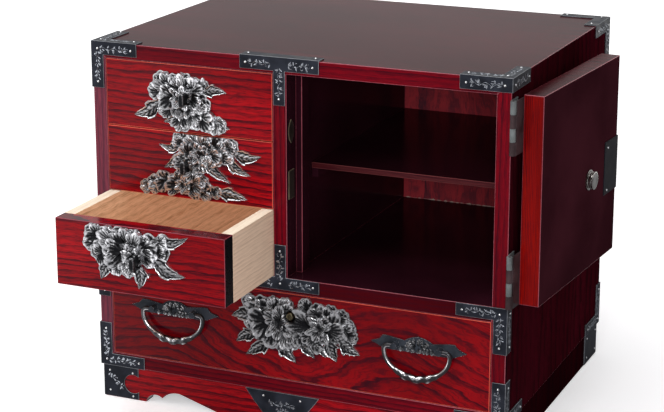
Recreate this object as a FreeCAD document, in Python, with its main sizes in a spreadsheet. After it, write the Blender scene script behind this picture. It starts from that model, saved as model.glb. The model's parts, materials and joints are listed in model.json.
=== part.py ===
"""A small lacquered clothing chest: three stacked drawers beside a cabinet with a hinged door,
one wide drawer below them, a separate shaped base, iron corner brackets and cast peony fittings.

The chest's frame while it is built: x from the left side to the right, y from the front face
towards the back, z up from the floor. At the end everything is moved so that the origin lies
under the middle of the chest as it stands, with one drawer pulled out and the door folded back.
"""
import FreeCAD
import Part
import math
import os
import Sketcher
from FreeCAD import Placement, Rotation, Vector

SIZES = {
    # carcass
    "chest_width": 455.0,
    "chest_depth": 339.0,
    "chest_height": 391.5,
    "side_board": 15.0,
    "top_board": 16.0,
    "bottom_board": 15.0,
    "middle_board": 16.0,
    "partition_board": 15.0,
    "back_board": 8.0,
    "back_recess": 5.5,
    # base
    "base_height": 37.5,
    "base_inset": 2.0,
    "base_board": 15.0,
    "corner_block": 22.0,
    "foot_width": 49.7,
    "arch_width": 90.3,
    "arch_height": 14.7,
    # drawers
    "drawer_gap": 0.4,
    "drawer_side_gap": 0.6,
    "drawer_back_gap": 15.5,
    "drawer_front_board": 18.0,
    "drawer_side_board": 12.5,
    "drawer_back_board": 10.0,
    "drawer_floor_board": 5.0,
    "drawer_floor_raise": 2.0,
    "drawer_pulled_out": 109.0,
    "runner_width": 6.0,
    "runner_height": 5.0,
    "runner_setback": 2.0,
    # cabinet
    "shelf_board": 6.0,
    "shelf_setback": 62.0,
    "cleat_width": 7.0,
    "cleat_height": 9.5,
    "stop_width": 7.0,
    "stop_depth": 17.0,
    "stop_gap": 2.0,
    "strike_length": 30.0,
    "strike_width": 13.0,
    "strike_sheet": 1.0,
    "lens_length": 25.0,
    "lens_width": 13.0,
    # door
    "door_thickness": 20.5,
    "door_hinge_gap": 0.8,
    "door_free_gap": 3.2,
    "door_end_gap": 0.9,
    "door_proud": 0.3,
    "lock_plate_length": 57.0,
    "lock_plate_width": 38.0,
    "lock_plate_sheet": 1.0,
    "ferrule_radius": 10.5,
    "ferrule_reach": 7.5,
    "ferrule_waist": 1.3,
    "door_pull_reach": 14.5,
    # hinges
    "hinge_length": 53.6,
    "hinge_barrel_radius": 2.9,
    "hinge_pin_radius": 1.3,
    "hinge_pin_clearance": 0.05,
    "hinge_sheet": 1.2,
    "hinge_axis_out": 2.8,
    "hinge_axis_forward": 3.6,
    "hinge_leaf_clearance": 0.4,
    "hinge_knuckle_gap": 0.3,
    "hinge_leaf_setback": 0.6,
    "hinge_frame_leaf": 15.0,
    "hinge_door_leaf": 17.0,
    "upper_hinge_inset": 3.6,
    "lower_hinge_inset": 1.0,
    "screw_radius": 2.0,
    "screw_height": 0.6,
    # brackets
    "bracket_sheet": 1.2,
    "bracket_band": 13.0,
    "bracket_leg_band": 12.5,
    "bracket_front_arm": 52.0,
    "bracket_side_arm": 54.0,
    "bracket_upright": 48.0,
    "tee_width": 86.5,
    "middle_tee_leg": 34.5,
    "foot_plate_width": 41.0,
    "foot_plate_height": 35.5,
    "foot_plate_side": 46.0,
    "foot_plate_lift": 1.0,
    "centre_plate_width": 84.0,
    "centre_plate_height": 31.0,
    "nail_radius": 1.3,
    # cast fittings
    "relief_height": 7.0,
    "small_casting_width": 168.0,
    "small_casting_height": 69.9,
    "wide_casting_width": 150.0,
    "wide_casting_height": 94.2,
    "door_casting_size": 134.0,
    "trim_margin": 0.8,
    "casting_tolerance": 0.001,
    "pull_width": 5.5,
    "pull_height": 15.0,
    "pull_reach": 17.0,
    "pull_rounding": 1.2,
    "keyhole_radius": 4.0,
    "keyhole_bore": 1.6,
    "keyhole_reach": 9.0,
    "lock_case_width": 40.0,
    "lock_case_height": 30.0,
    "lock_case_depth": 10.0,
    # swinging handles
    "handle_level": 58.0,
    "handle_plate_width": 102.0,
    "handle_plate_height": 14.0,
    "handle_plate_sheet": 1.6,
    "handle_hump": 2.6,
    "post_spacing": 47.4,
    "post_radius": 3.4,
    "post_reach": 9.8,
    "bail_axis_forward": 6.5,
    "bail_half_width": 35.2,
    "bail_drop": 32.0,
    "bail_rod_radius": 2.1,
    "bail_grip_radius": 3.4,
    "bail_pin_radius": 1.6,
    "bail_pin_clearance": 0.05,
    "bail_pin_grip": 0.3,
    "bail_shoulder_gap": 0.4,
    "bail_corner_radius": 4.7,
    "bail_side_radius": 22.0,
    "cut_overrun": 1.0,
}
DOOR_OPEN_ANGLE = 266.0
SMALL_DRAWERS = 3
HINGE_KNUCKLES = 4

# Shares of the room inside the case: the wide drawer's height and the drawer column's width.
BOTTOM_DRAWER_SHARE = 0.2941
COLUMN_SHARE = 0.4482
# Heights inside the cabinet as shares of its opening, and places across the door and the chest.
SHELF_LEVEL_SHARE = 0.5047
LOCK_LEVEL_SHARE = 0.4575
LENS_LEVEL_SHARE = 0.717
FERRULE_SHARE = 0.6111
HANDLE_SPREAD_SHARE = 0.3011

# Each leaf of a casting: x and z of its root and of its tip, its width and its height. Places
# are shares of the casting's width and height, widths of its width, heights of the relief.
UPPER_LEAF_SHARES = (
    (0.606, 0.621, 0.767, 0.649, 0.071, 0.45),
    (0.320, 0.435, 0.130, 0.192, 0.101, 0.45),
    (0.558, 0.177, 0.785, 0.106, 0.083, 0.40),
    (0.439, 0.163, 0.332, 0.120, 0.048, 0.35),
)
MIDDLE_LEAF_SHARES = (
    (0.463, 0.817, 0.296, 0.803, 0.065, 0.45),
    (0.511, 0.660, 0.332, 0.445, 0.077, 0.60),
    (0.796, 0.788, 0.993, 0.774, 0.083, 0.50),
    (0.749, 0.702, 0.921, 0.459, 0.071, 0.45),
    (0.606, 0.602, 0.785, 0.316, 0.071, 0.60),
    (0.689, 0.159, 0.898, 0.087, 0.083, 0.50),
)
LOWER_LEAF_SHARES = (
    (0.320, 0.469, 0.243, 0.169, 0.089, 0.50),
    (0.499, 0.484, 0.499, 0.097, 0.101, 0.55),
    (0.594, 0.598, 0.808, 0.369, 0.101, 0.55),
    (0.606, 0.884, 0.832, 0.970, 0.077, 0.45),
)
WIDE_LEAF_SHARES = (
    (0.223, 0.691, 0.030, 0.659, 0.120, 0.45),
    (0.223, 0.489, 0.063, 0.362, 0.093, 0.50),
    (0.330, 0.415, 0.137, 0.224, 0.100, 0.55),
    (0.383, 0.436, 0.517, 0.213, 0.107, 0.55),
    (0.557, 0.426, 0.657, 0.298, 0.080, 0.45),
    (0.637, 0.479, 0.743, 0.330, 0.080, 0.50),
    (0.757, 0.542, 0.823, 0.298, 0.113, 0.50),
    (0.837, 0.564, 0.990, 0.415, 0.107, 0.50),
)
DOOR_LEAF_SHARES = (
    (0.300, 0.560, 0.040, 0.720, 0.140, 0.45),
    (0.300, 0.420, 0.060, 0.260, 0.140, 0.45),
    (0.680, 0.580, 0.950, 0.740, 0.150, 0.45),
    (0.680, 0.420, 0.940, 0.270, 0.150, 0.45),
    (0.500, 0.320, 0.560, 0.050, 0.140, 0.45),
    (0.440, 0.660, 0.360, 0.940, 0.140, 0.45),
    (0.560, 0.660, 0.660, 0.930, 0.130, 0.45),
)
# Each lobe of the blossoms: x and z of its middle, its radius as a share of the casting's
# width, and its height as a share of the relief.
UPPER_LOBE_SHARES = (
    (0.332, 0.735, 0.060, 0.60),
    (0.410, 0.721, 0.054, 0.70),
    (0.481, 0.750, 0.054, 0.60),
    (0.558, 0.692, 0.054, 0.55),
    (0.612, 0.735, 0.030, 0.40),
    (0.285, 0.592, 0.048, 0.50),
    (0.368, 0.535, 0.065, 0.85),
    (0.463, 0.521, 0.077, 1.00),
    (0.564, 0.492, 0.060, 0.80),
    (0.612, 0.435, 0.042, 0.55),
    (0.350, 0.320, 0.048, 0.55),
    (0.439, 0.306, 0.048, 0.65),
    (0.529, 0.335, 0.048, 0.55),
    (0.463, 0.149, 0.054, 0.70),
    (0.546, 0.192, 0.054, 0.80),
    (0.630, 0.192, 0.060, 0.70),
    (0.707, 0.149, 0.048, 0.50),
)
MIDDLE_LOBE_SHARES = (
    (0.451, 0.888, 0.054, 0.60),
    (0.535, 0.888, 0.054, 0.70),
    (0.624, 0.888, 0.054, 0.80),
    (0.713, 0.888, 0.054, 0.70),
    (0.785, 0.874, 0.048, 0.50),
    (0.499, 0.745, 0.054, 0.80),
    (0.594, 0.717, 0.071, 1.00),
    (0.689, 0.745, 0.054, 0.80),
    (0.755, 0.717, 0.048, 0.60),
    (0.570, 0.259, 0.060, 0.95),
    (0.201, 0.130, 0.036, 0.45),
    (0.261, 0.187, 0.048, 0.60),
    (0.320, 0.245, 0.054, 0.70),
    (0.392, 0.202, 0.054, 0.75),
    (0.463, 0.216, 0.054, 0.70),
    (0.535, 0.159, 0.054, 0.60),
    (0.618, 0.159, 0.048, 0.60),
    (0.683, 0.144, 0.036, 0.50),
)
LOWER_LOBE_SHARES = (
    (0.201, 0.856, 0.054, 0.60),
    (0.183, 0.712, 0.048, 0.55),
    (0.237, 0.598, 0.054, 0.65),
    (0.296, 0.813, 0.065, 0.80),
    (0.392, 0.856, 0.060, 0.70),
    (0.475, 0.841, 0.054, 0.85),
    (0.570, 0.770, 0.065, 0.90),
    (0.654, 0.698, 0.048, 0.60),
    (0.344, 0.612, 0.071, 0.90),
    (0.463, 0.584, 0.065, 1.00),
    (0.570, 0.569, 0.048, 0.70),
    (0.356, 0.398, 0.048, 0.60),
    (0.427, 0.383, 0.048, 0.60),
    (0.665, 0.856, 0.042, 0.50),
)
WIDE_LOBE_SHARES = (
    (0.170, 0.850, 0.053, 0.50),
    (0.257, 0.850, 0.053, 0.60),
    (0.350, 0.872, 0.047, 0.55),
    (0.443, 0.861, 0.053, 0.60),
    (0.590, 0.893, 0.047, 0.50),
    (0.683, 0.850, 0.053, 0.60),
    (0.777, 0.850, 0.053, 0.60),
    (0.857, 0.818, 0.053, 0.55),
    (0.903, 0.712, 0.053, 0.50),
    (0.923, 0.606, 0.047, 0.45),
    (0.250, 0.649, 0.107, 0.80),
    (0.397, 0.670, 0.120, 1.00),
    (0.557, 0.606, 0.113, 0.90),
    (0.703, 0.659, 0.100, 0.85),
    (0.817, 0.670, 0.093, 0.75),
    (0.350, 0.489, 0.080, 0.70),
    (0.477, 0.489, 0.073, 0.75),
    (0.623, 0.542, 0.073, 0.70),
)
DOOR_LOBE_SHARES = (
    (0.330, 0.500, 0.095, 0.60),
    (0.380, 0.620, 0.095, 0.55),
    (0.500, 0.670, 0.095, 0.60),
    (0.620, 0.620, 0.095, 0.55),
    (0.670, 0.500, 0.095, 0.60),
    (0.620, 0.380, 0.095, 0.55),
    (0.500, 0.330, 0.095, 0.60),
    (0.380, 0.380, 0.095, 0.55),
    (0.500, 0.500, 0.150, 0.90),
)
# The foot of the apron's arch, then the points up and over it: shares of its width and height.
ARCH_LOBE_TOP_SHARES = (0.070, 0.565)
ARCH_CUSP_SHARES = (0.214, 0.463)
ARCH_RISE_SHARES = (0.308, 0.891)
ARCH_CROWN_SHARES = (0.457, 1.000)
# The swinging handle's back plate, left half: shares of its width from its left end and of its
# height from its lower edge.
PLATE_EDGE_SHARES = (
    (0.175, 0.000),
    (0.125, 0.060),
    (0.050, 0.300),
    (0.000, 0.460),
    (0.085, 0.660),
    (0.125, 1.000),
    (0.175, 1.000),
    (0.355, 0.800),
)
FOOT_PLATE_UPPER_SHARE = 0.72
FOOT_PLATE_LOWER_SHARE = 0.25
FOOT_PLATE_WAIST_SHARE = 0.58
CENTRE_PLATE_SHOULDER_SHARES = (0.120, 0.560)
CENTRE_PLATE_FOOT_SHARE = 0.300
NAIL_INSET_SHARE = 0.5
LOBE_TOP_SHARE = 0.62
GRIP_SPREAD_SHARE = 0.62


class Length:
    """A length in millimetres and the sheet expression that it comes from."""

    def __init__(self, value, text):
        self.value = value
        self.text = text

    def __add__(self, other):
        return Length(self.value + other.value, "(%s + %s)" % (self.text, other.text))

    def __sub__(self, other):
        return Length(self.value - other.value, "(%s - %s)" % (self.text, other.text))

    def __mul__(self, share):
        return Length(self.value * share, "(%s * %s)" % (self.text, share))

    def __truediv__(self, count):
        return Length(self.value / count, "(%s / %s)" % (self.text, count))

    def __neg__(self):
        return Length(-self.value, "(-%s)" % self.text)


ZERO = Length(0.0, "0")
doc = FreeCAD.newDocument("clothing_chest")
sheet = doc.addObject("Spreadsheet::Sheet", "sizes")
for row, (alias, number) in enumerate(SIZES.items(), start=1):
    sheet.set("A%d" % row, alias)
    sheet.set("B%d" % row, str(number))
    sheet.setAlias("B%d" % row, alias)
doc.recompute()


def size(alias):
    """The sheet's length of that name."""
    return Length(float(sheet.get(alias)), "sizes." + alias)


parts = {}


def keep(label, item):
    """Names a finished sub-part and lists it for writing."""
    item.Label = label
    parts[label] = item
    return item


def put(item, x, y, z, rotation=None):
    """Sets an object's place in the chest's frame."""
    item.Placement = Placement(Vector(x.value, y.value, z.value), rotation or Rotation())
    return item


def box(corner, extent):
    """A board or a strip: a box with its low corner and its three sizes."""
    item = doc.addObject("Part::Box", "board")
    for name, length in zip(("Length", "Width", "Height"), extent):
        setattr(item, name, length.value)
        item.setExpression(name, length.text)
    return put(item, *corner)


def cylinder(start, radius, length, direction):
    """A round piece from start along a unit direction."""
    item = doc.addObject("Part::Cylinder", "round")
    item.setExpression("Radius", radius.text)
    item.setExpression("Height", length.text)
    return put(item, *start, rotation=Rotation(Vector(0, 0, 1), direction))


def fused(items):
    """One solid out of overlapping pieces."""
    item = doc.addObject("Part::MultiFuse", "joined")
    item.Shapes = items
    item.Refine = True
    return item


def grouped(items):
    """Several solids kept together as one sub-part."""
    item = doc.addObject("Part::Compound", "group")
    item.Links = items
    return item


def cut(base, tool):
    """A piece with another taken out of it."""
    item = doc.addObject("Part::Cut", "cut")
    item.Base = base
    item.Tool = tool
    return item


def circle_through(first, middle, last):
    """Centre, radius and the two angles of the arc through three points, and its sense."""
    curve = Part.Arc(*(Vector(x, y, 0) for x, y in (first, middle, last))).toShape().Curve
    centre = curve.Center
    angles = [math.atan2(y - centre.y, x - centre.x) for x, y in (first, middle, last)]
    turn = (angles[1] - angles[0]) % math.tau < (angles[2] - angles[0]) % math.tau
    return centre, curve.Radius, angles[0], angles[2], turn


def hold(sketch, geometry, position, x, y):
    """Ties a sketch point to its two coordinates from the sheet."""
    for kind, length, axis in (("DistanceX", x, -2), ("DistanceY", y, -1)):
        if abs(length.value) < 1e-9:
            sketch.addConstraint(Sketcher.Constraint("PointOnObject", geometry, position, axis))
            continue
        ends = (-1, 1, geometry, position) if length.value > 0 else (geometry, position, -1, 1)
        index = sketch.addConstraint(Sketcher.Constraint(kind, *ends, abs(length.value)))
        text = length.text if length.value > 0 else (-length).text
        sketch.setExpression("Constraints[%d]" % index, text)


def draw(body, name, plane, start, steps, closed=True):
    """A sketch of lines and three-point arcs: each step is an end, or a way point and an end."""
    sketch = body.newObject("Sketcher::SketchObject", name)
    role = plane + "_Plane"
    origin = [item for item in body.Origin.OriginFeatures if item.Role == role][0]
    sketch.AttachmentSupport = [(origin, "")]
    sketch.MapMode = "FlatFace"
    ends = []
    here = start
    for step in steps:
        there = step[-1]
        first = (here[0].value, here[1].value)
        last = (there[0].value, there[1].value)
        if len(step) == 1:
            line = Part.LineSegment(Vector(*first, 0), Vector(*last, 0))
            index = sketch.addGeometry(line, False)
            ends.append((index, 1, 2, there, None))
        else:
            way = (step[0][0].value, step[0][1].value)
            centre, radius, begin, finish, forward = circle_through(first, way, last)
            circle = Part.Circle(centre, Vector(0, 0, 1), radius)
            arc = Part.ArcOfCircle(circle, *((begin, finish) if forward else (finish, begin)))
            index = sketch.addGeometry(arc, False)
            near, far = (1, 2) if forward else (2, 1)
            ends.append((index, near, far, there, step[0]))
        here = there
    hold(sketch, ends[0][0], ends[0][1], *start)
    for number, (index, near, far, there, way) in enumerate(ends):
        if number + 1 < len(ends):
            following = ends[number + 1]
            joint = Sketcher.Constraint("Coincident", index, far, following[0], following[1])
            sketch.addConstraint(joint)
            hold(sketch, index, far, *there)
        elif closed:
            joint = Sketcher.Constraint("Coincident", index, far, ends[0][0], ends[0][1])
            sketch.addConstraint(joint)
        else:
            hold(sketch, index, far, *there)
        if way is not None:
            point = sketch.addGeometry(Part.Point(Vector(way[0].value, way[1].value, 0)), True)
            hold(sketch, point, 1, *way)
            sketch.addConstraint(Sketcher.Constraint("PointOnObject", point, 1, index))
    return sketch


def plate_body(label, plane, start, steps, thickness, reverse=False):
    """A body padded from one closed outline."""
    body = doc.addObject("PartDesign::Body", label)
    sketch = draw(body, label + "_outline", plane, start, steps)
    pad = body.newObject("PartDesign::Pad", label + "_pad")
    pad.Profile = sketch
    pad.Length = thickness.value
    pad.setExpression("Length", thickness.text)
    pad.Reversed = reverse
    return body


width, depth, height = size("chest_width"), size("chest_depth"), size("chest_height")
side, top, bottom = size("side_board"), size("top_board"), size("bottom_board")
middle, partition = size("middle_board"), size("partition_board")
base = size("base_height")
overrun = size("cut_overrun")
wide_bottom = base + bottom
upper_top = height - top
wide_top = wide_bottom + (upper_top - wide_bottom) * BOTTOM_DRAWER_SHARE
upper_bottom = wide_top + middle
inner_back = depth - size("back_recess") - size("back_board")
inner_width = width - side * 2
column = inner_width * COLUMN_SHARE
cabinet_left = side + column + partition
cabinet_width = width - side - cabinet_left
sheet_metal = size("bracket_sheet")
band = size("bracket_band")


def mirrored(low, extent, right):
    """The low edge of a span, or of its mirror image on the chest's right."""
    return width - low - extent if right else low


def carcass():
    """Mitred outer boards, the middle board, the partition and the back."""
    corner = (ZERO, ZERO)
    across = [((width, ZERO),), ((width - side, -top),), ((side, -top),), (corner,)]
    panel = plate_body("top_panel", "XZ", corner, across, depth, True)
    put(keep("top_panel", panel), ZERO, ZERO, height)
    across = [((width, ZERO),), ((width - side, bottom),), ((side, bottom),), (corner,)]
    panel = plate_body("bottom_panel", "XZ", corner, across, depth, True)
    put(keep("bottom_panel", panel), ZERO, ZERO, base)
    tall = height - base
    upright = [((side, bottom),), ((side, tall - top),), ((ZERO, tall),), (corner,)]
    panel = plate_body("left_side_panel", "XZ", corner, upright, depth, True)
    put(keep("left_side_panel", panel), ZERO, ZERO, base)
    upright = [((-side, bottom),), ((-side, tall - top),), ((ZERO, tall),), (corner,)]
    panel = plate_body("right_side_panel", "XZ", corner, upright, depth, True)
    put(keep("right_side_panel", panel), width, ZERO, base)
    inside = upper_top - wide_bottom
    keep("back_panel", box((side, inner_back, wide_bottom), (inner_width, size("back_board"), inside)))
    keep("middle_shelf", box((side, ZERO, wide_top), (inner_width, inner_back, middle)))
    tall = upper_top - upper_bottom
    keep("centre_partition", box((side + column, ZERO, upper_bottom), (partition, inner_back, tall)))


def base_frame():
    """The shaped front rail, three plain rails and the blocks in their corners."""
    inset, board = size("base_inset"), size("base_board")
    long = width - inset * 2
    foot, arch, rise = size("foot_width"), size("arch_width"), size("arch_height")

    def point(shares, right):
        x = foot + arch * shares[0]
        return (long - x if right else x, rise * shares[1])

    steps = [((foot, ZERO),)]
    steps.append((point(ARCH_LOBE_TOP_SHARES, False), point(ARCH_CUSP_SHARES, False)))
    steps.append((point(ARCH_RISE_SHARES, False), point(ARCH_CROWN_SHARES, False)))
    steps.append(((foot + arch, ZERO),))
    steps.append(((long - foot - arch, ZERO),))
    steps.append((point(ARCH_CROWN_SHARES, True),))
    steps.append((point(ARCH_RISE_SHARES, True), point(ARCH_CUSP_SHARES, True)))
    steps.append((point(ARCH_LOBE_TOP_SHARES, True), (long - foot, ZERO)))
    steps += [((long, ZERO),), ((long, base),), ((ZERO, base),), ((ZERO, ZERO),)]
    rail = plate_body("base_front_rail", "XZ", (ZERO, ZERO), steps, board, True)
    put(keep("base_front_rail", rail), inset, inset, ZERO)
    keep("base_back_rail", box((inset, depth - inset - board, ZERO), (long, board, base)))
    run = depth - inset * 2 - board * 2
    keep("base_left_rail", box((inset, inset + board, ZERO), (board, run, base)))
    keep("base_right_rail", box((width - inset - board, inset + board, ZERO), (board, run, base)))
    block = size("corner_block")
    blocks = []
    for x in (inset + board, width - inset - board - block):
        for y in (inset + board, depth - inset - board - block):
            blocks.append(box((x, y, ZERO), (block, block, base)))
    keep("base_corner_blocks", grouped(blocks))


def casting_area(corner, extent, drawing):
    """Low corner and size of the area that a casting fills, in the middle of its front.

    The casting keeps its shape, as large as the front's height and width let it be.
    """
    scale = min(extent[0].value / drawing[0].value, extent[1].value / drawing[1].value)
    wide, high = drawing[0] * scale, drawing[1] * scale
    x0 = corner[0] + extent[0] / 2 - wide / 2
    z0 = corner[2] + extent[1] / 2 - high / 2
    return (x0, corner[1], z0), (wide, high)


def relief(label, corner, extent, leaf_shares, lobe_shares, pull_reach=None, hole_shares=None):
    """A cast fitting in its area of a front: pointed leaves, stepped blossoms, a blade-like pull.

    Leaves are lens-shaped plates and lobes are cones cut short, all standing on the front.
    The casting is cut straight where it meets the area's edges.
    """
    x0, face, z0 = (length.value for length in corner)
    wide, high = extent[0].value, extent[1].value
    rise = size("relief_height").value
    outward = Vector(0, -1, 0)
    solids = []
    for root_x, root_z, tip_x, tip_z, breadth, share in leaf_shares:
        root = Vector(x0 + root_x * wide, face, z0 + root_z * high)
        tip = Vector(x0 + tip_x * wide, face, z0 + tip_z * high)
        bulge = (tip - root).cross(outward).normalize() * (breadth * wide / 2)
        centre = (root + tip) / 2
        sides = [Part.Arc(root, centre + bulge, tip), Part.Arc(tip, centre - bulge, root)]
        outline = Part.Face(Part.Wire([arc.toShape() for arc in sides]))
        solids.append(outline.extrude(outward * (share * rise)))
    for middle_x, middle_z, radius, share in lobe_shares:
        foot = Vector(x0 + middle_x * wide, face, z0 + middle_z * high)
        round_foot = radius * wide
        solids.append(Part.makeCone(round_foot, round_foot * LOBE_TOP_SHARE, share * rise, foot, outward))
    margin = size("trim_margin").value
    window = Part.makeBox(wide - 2 * margin, rise, high - 2 * margin)
    window.translate(Vector(x0 + margin, face - rise, z0 + margin))
    casting = solids[0].fuse(solids[1:], size("casting_tolerance").value)
    if hole_shares is not None:
        place = Vector(x0 + hole_shares[0] * wide, face, z0 + hole_shares[1] * high)
        casting = casting.cut(Part.makeCylinder(size("keyhole_radius").value, rise, place, outward))
    casting = casting.common(window)
    if pull_reach is not None:
        blade = size("pull_width").value
        tall = size("pull_height").value
        pull = Part.makeBox(blade, pull_reach.value, tall)
        rounding = size("pull_rounding").value
        pull = pull.makeFillet(rounding, [edge for edge in pull.Edges if edge.CenterOfMass.y < rounding])
        middle_x, middle_z = x0 + PULL_PLACE_SHARES[0] * wide, z0 + PULL_PLACE_SHARES[1] * high
        pull.translate(Vector(middle_x - blade / 2, face - pull_reach.value, middle_z - tall / 2))
        casting = casting.fuse(pull)
    item = doc.addObject("Part::Feature", label)
    item.Shape = casting.removeSplitter()
    item.Placement = Placement()
    return keep(label, item)


PULL_PLACE_SHARES = (0.500, 0.520)
front_board = size("drawer_front_board")
wall = size("drawer_side_board")
drawer_gap = size("drawer_gap")
drawer_side_gap = size("drawer_side_gap")


def drawer(name, low, opening, on_runners):
    """A flush front and a tray of two sides, a back and a floor, and their common corner."""
    x, z = low[0] + drawer_side_gap, low[1] + drawer_gap
    wide, tall = opening[0] - drawer_side_gap * 2, opening[1] - drawer_gap * 2
    long = inner_back - size("drawer_back_gap")
    keep(name + "_front", box((x, ZERO, z), (wide, front_board, tall)))
    back = size("drawer_back_board")
    run = long - front_board
    sides = []
    for right in (False, True):
        x_wall = x + wide - wall if right else x
        board = box((x_wall, front_board, z), (wall, run, tall))
        if on_runners:
            groove = size("runner_width") + drawer_side_gap
            x_cut = x_wall + wall - groove if right else x_wall - overrun
            y_cut = front_board - overrun
            extent = (groove + overrun, run + overrun * 2, size("runner_height") + overrun)
            board = cut(board, box((x_cut, y_cut, z - overrun), extent))
        sides.append(board)
    inside = wide - wall * 2
    raise_floor, floor = size("drawer_floor_raise"), size("drawer_floor_board")
    end = box((x + wall, long - back, z), (inside, back, tall))
    panel = box((x + wall, front_board, z + raise_floor), (inside, run - back, floor))
    keep(name + "_tray", grouped(sides + [end, panel]))
    return (x, ZERO, z), (wide, tall)


def small_drawers():
    """The column of three drawers with its runners, the lowest drawer standing open."""
    slot = (upper_top - upper_bottom) / SMALL_DRAWERS
    fittings = (
        ("upper", UPPER_LEAF_SHARES, UPPER_LOBE_SHARES),
        ("middle", MIDDLE_LEAF_SHARES, MIDDLE_LOBE_SHARES),
        ("lower", LOWER_LEAF_SHARES, LOWER_LOBE_SHARES),
    )
    runners = {"left": [], "right": []}
    runner, thick = size("runner_width"), size("runner_height") - drawer_gap
    start = front_board + size("runner_setback")
    for number, (name, leaf_shares, lobe_shares) in enumerate(fittings):
        z = upper_top - slot * (number + 1)
        on_runners = number + 1 < SMALL_DRAWERS
        corner, extent = drawer(name + "_drawer", (side, z), (column, slot), on_runners)
        drawing = (size("small_casting_width"), size("small_casting_height"))
        area = casting_area(corner, extent, drawing)
        relief(name + "_drawer_fitting", *area, leaf_shares, lobe_shares, size("pull_reach"))
        if on_runners:
            for hand, x in (("left", side), ("right", side + column - runner)):
                strip = box((x, start, z + drawer_gap), (runner, inner_back - start, thick))
                runners[hand].append(strip)
    for hand, strips in runners.items():
        keep(hand + "_drawer_runners", grouped(strips))


def wide_drawer():
    """The bottom drawer, its fitting, keyhole and lock, and its two swinging handles."""
    corner, extent = drawer("wide_drawer", (side, wide_bottom), (inner_width, wide_top - wide_bottom), False)
    drawing = (size("wide_casting_width"), size("wide_casting_height"))
    place, area = casting_area(corner, extent, drawing)
    tables = (WIDE_LEAF_SHARES, WIDE_LOBE_SHARES)
    relief("wide_drawer_fitting", place, area, *tables, hole_shares=KEYHOLE_PLACE_SHARES)
    centre_x = place[0] + area[0] * KEYHOLE_PLACE_SHARES[0]
    centre_z = place[2] + area[1] * KEYHOLE_PLACE_SHARES[1]
    reach = size("keyhole_reach")
    outward = Vector(0, -1, 0)
    start = (centre_x, ZERO, centre_z)
    ring = cylinder(start, size("keyhole_radius"), reach, outward)
    low = reach - size("relief_height")
    bore = cylinder((centre_x, -low, centre_z), size("keyhole_bore"), reach, outward)
    keep("wide_drawer_keyhole", cut(ring, bore))
    case = (size("lock_case_width"), size("lock_case_depth"), size("lock_case_height"))
    place = (centre_x - case[0] / 2, front_board, centre_z - case[2] / 2)
    keep("wide_drawer_lock", box(place, case))
    spread = width * HANDLE_SPREAD_SHARE
    for hand, offset in (("left", -spread), ("right", spread)):
        swinging_handle(hand, width / 2 + offset, corner[2] + size("handle_level"))


KEYHOLE_PLACE_SHARES = (0.489, 0.760)


def handle_plate(hand):
    """The handle's pointed back plate, with its lower edge on the body's x axis."""
    wide, tall = size("handle_plate_width"), size("handle_plate_height")
    left = [(wide * x, tall * z) for x, z in PLATE_EDGE_SHARES]
    right = [(wide - wide * x, tall * z) for x, z in reversed(PLATE_EDGE_SHARES)]
    crown = (wide / 2, tall + size("handle_hump"))
    steps = [(point,) for point in left[1:]]
    steps.append((crown, right[0]))
    steps += [(point,) for point in right[1:]]
    steps.append((left[0],))
    return plate_body(hand + "_plate", "XZ", left[0], steps, size("handle_plate_sheet"))


def swinging_handle(hand, x, z):
    """Back plate with two drilled posts, and the bail that hangs between them."""
    wide, tall = size("handle_plate_width"), size("handle_plate_height")
    plate = handle_plate(hand)
    put(plate, x - wide / 2, ZERO, z - tall * PIVOT_LEVEL_SHARE)
    radius, forward = size("post_radius"), size("bail_axis_forward")
    pin = size("bail_pin_radius")
    pieces = [plate]
    for way in (-1, 1):
        post_x = x + size("post_spacing") / 2 * way
        post = cylinder((post_x, ZERO, z), radius, size("post_reach"), Vector(0, -1, 0))
        hole_length = radius + overrun + size("bail_pin_grip")
        hole_start = (post_x - size("bail_pin_grip") * way, -forward, z)
        bore = pin + size("bail_pin_clearance")
        hole = cylinder(hole_start, bore, hole_length, Vector(way, 0, 0))
        pieces.append(cut(post, hole))
    keep(hand + "_handle_plate", fused(pieces))
    put(keep(hand + "_bail", bail(hand)), x, -forward, z)


PIVOT_LEVEL_SHARE = 0.464


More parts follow.
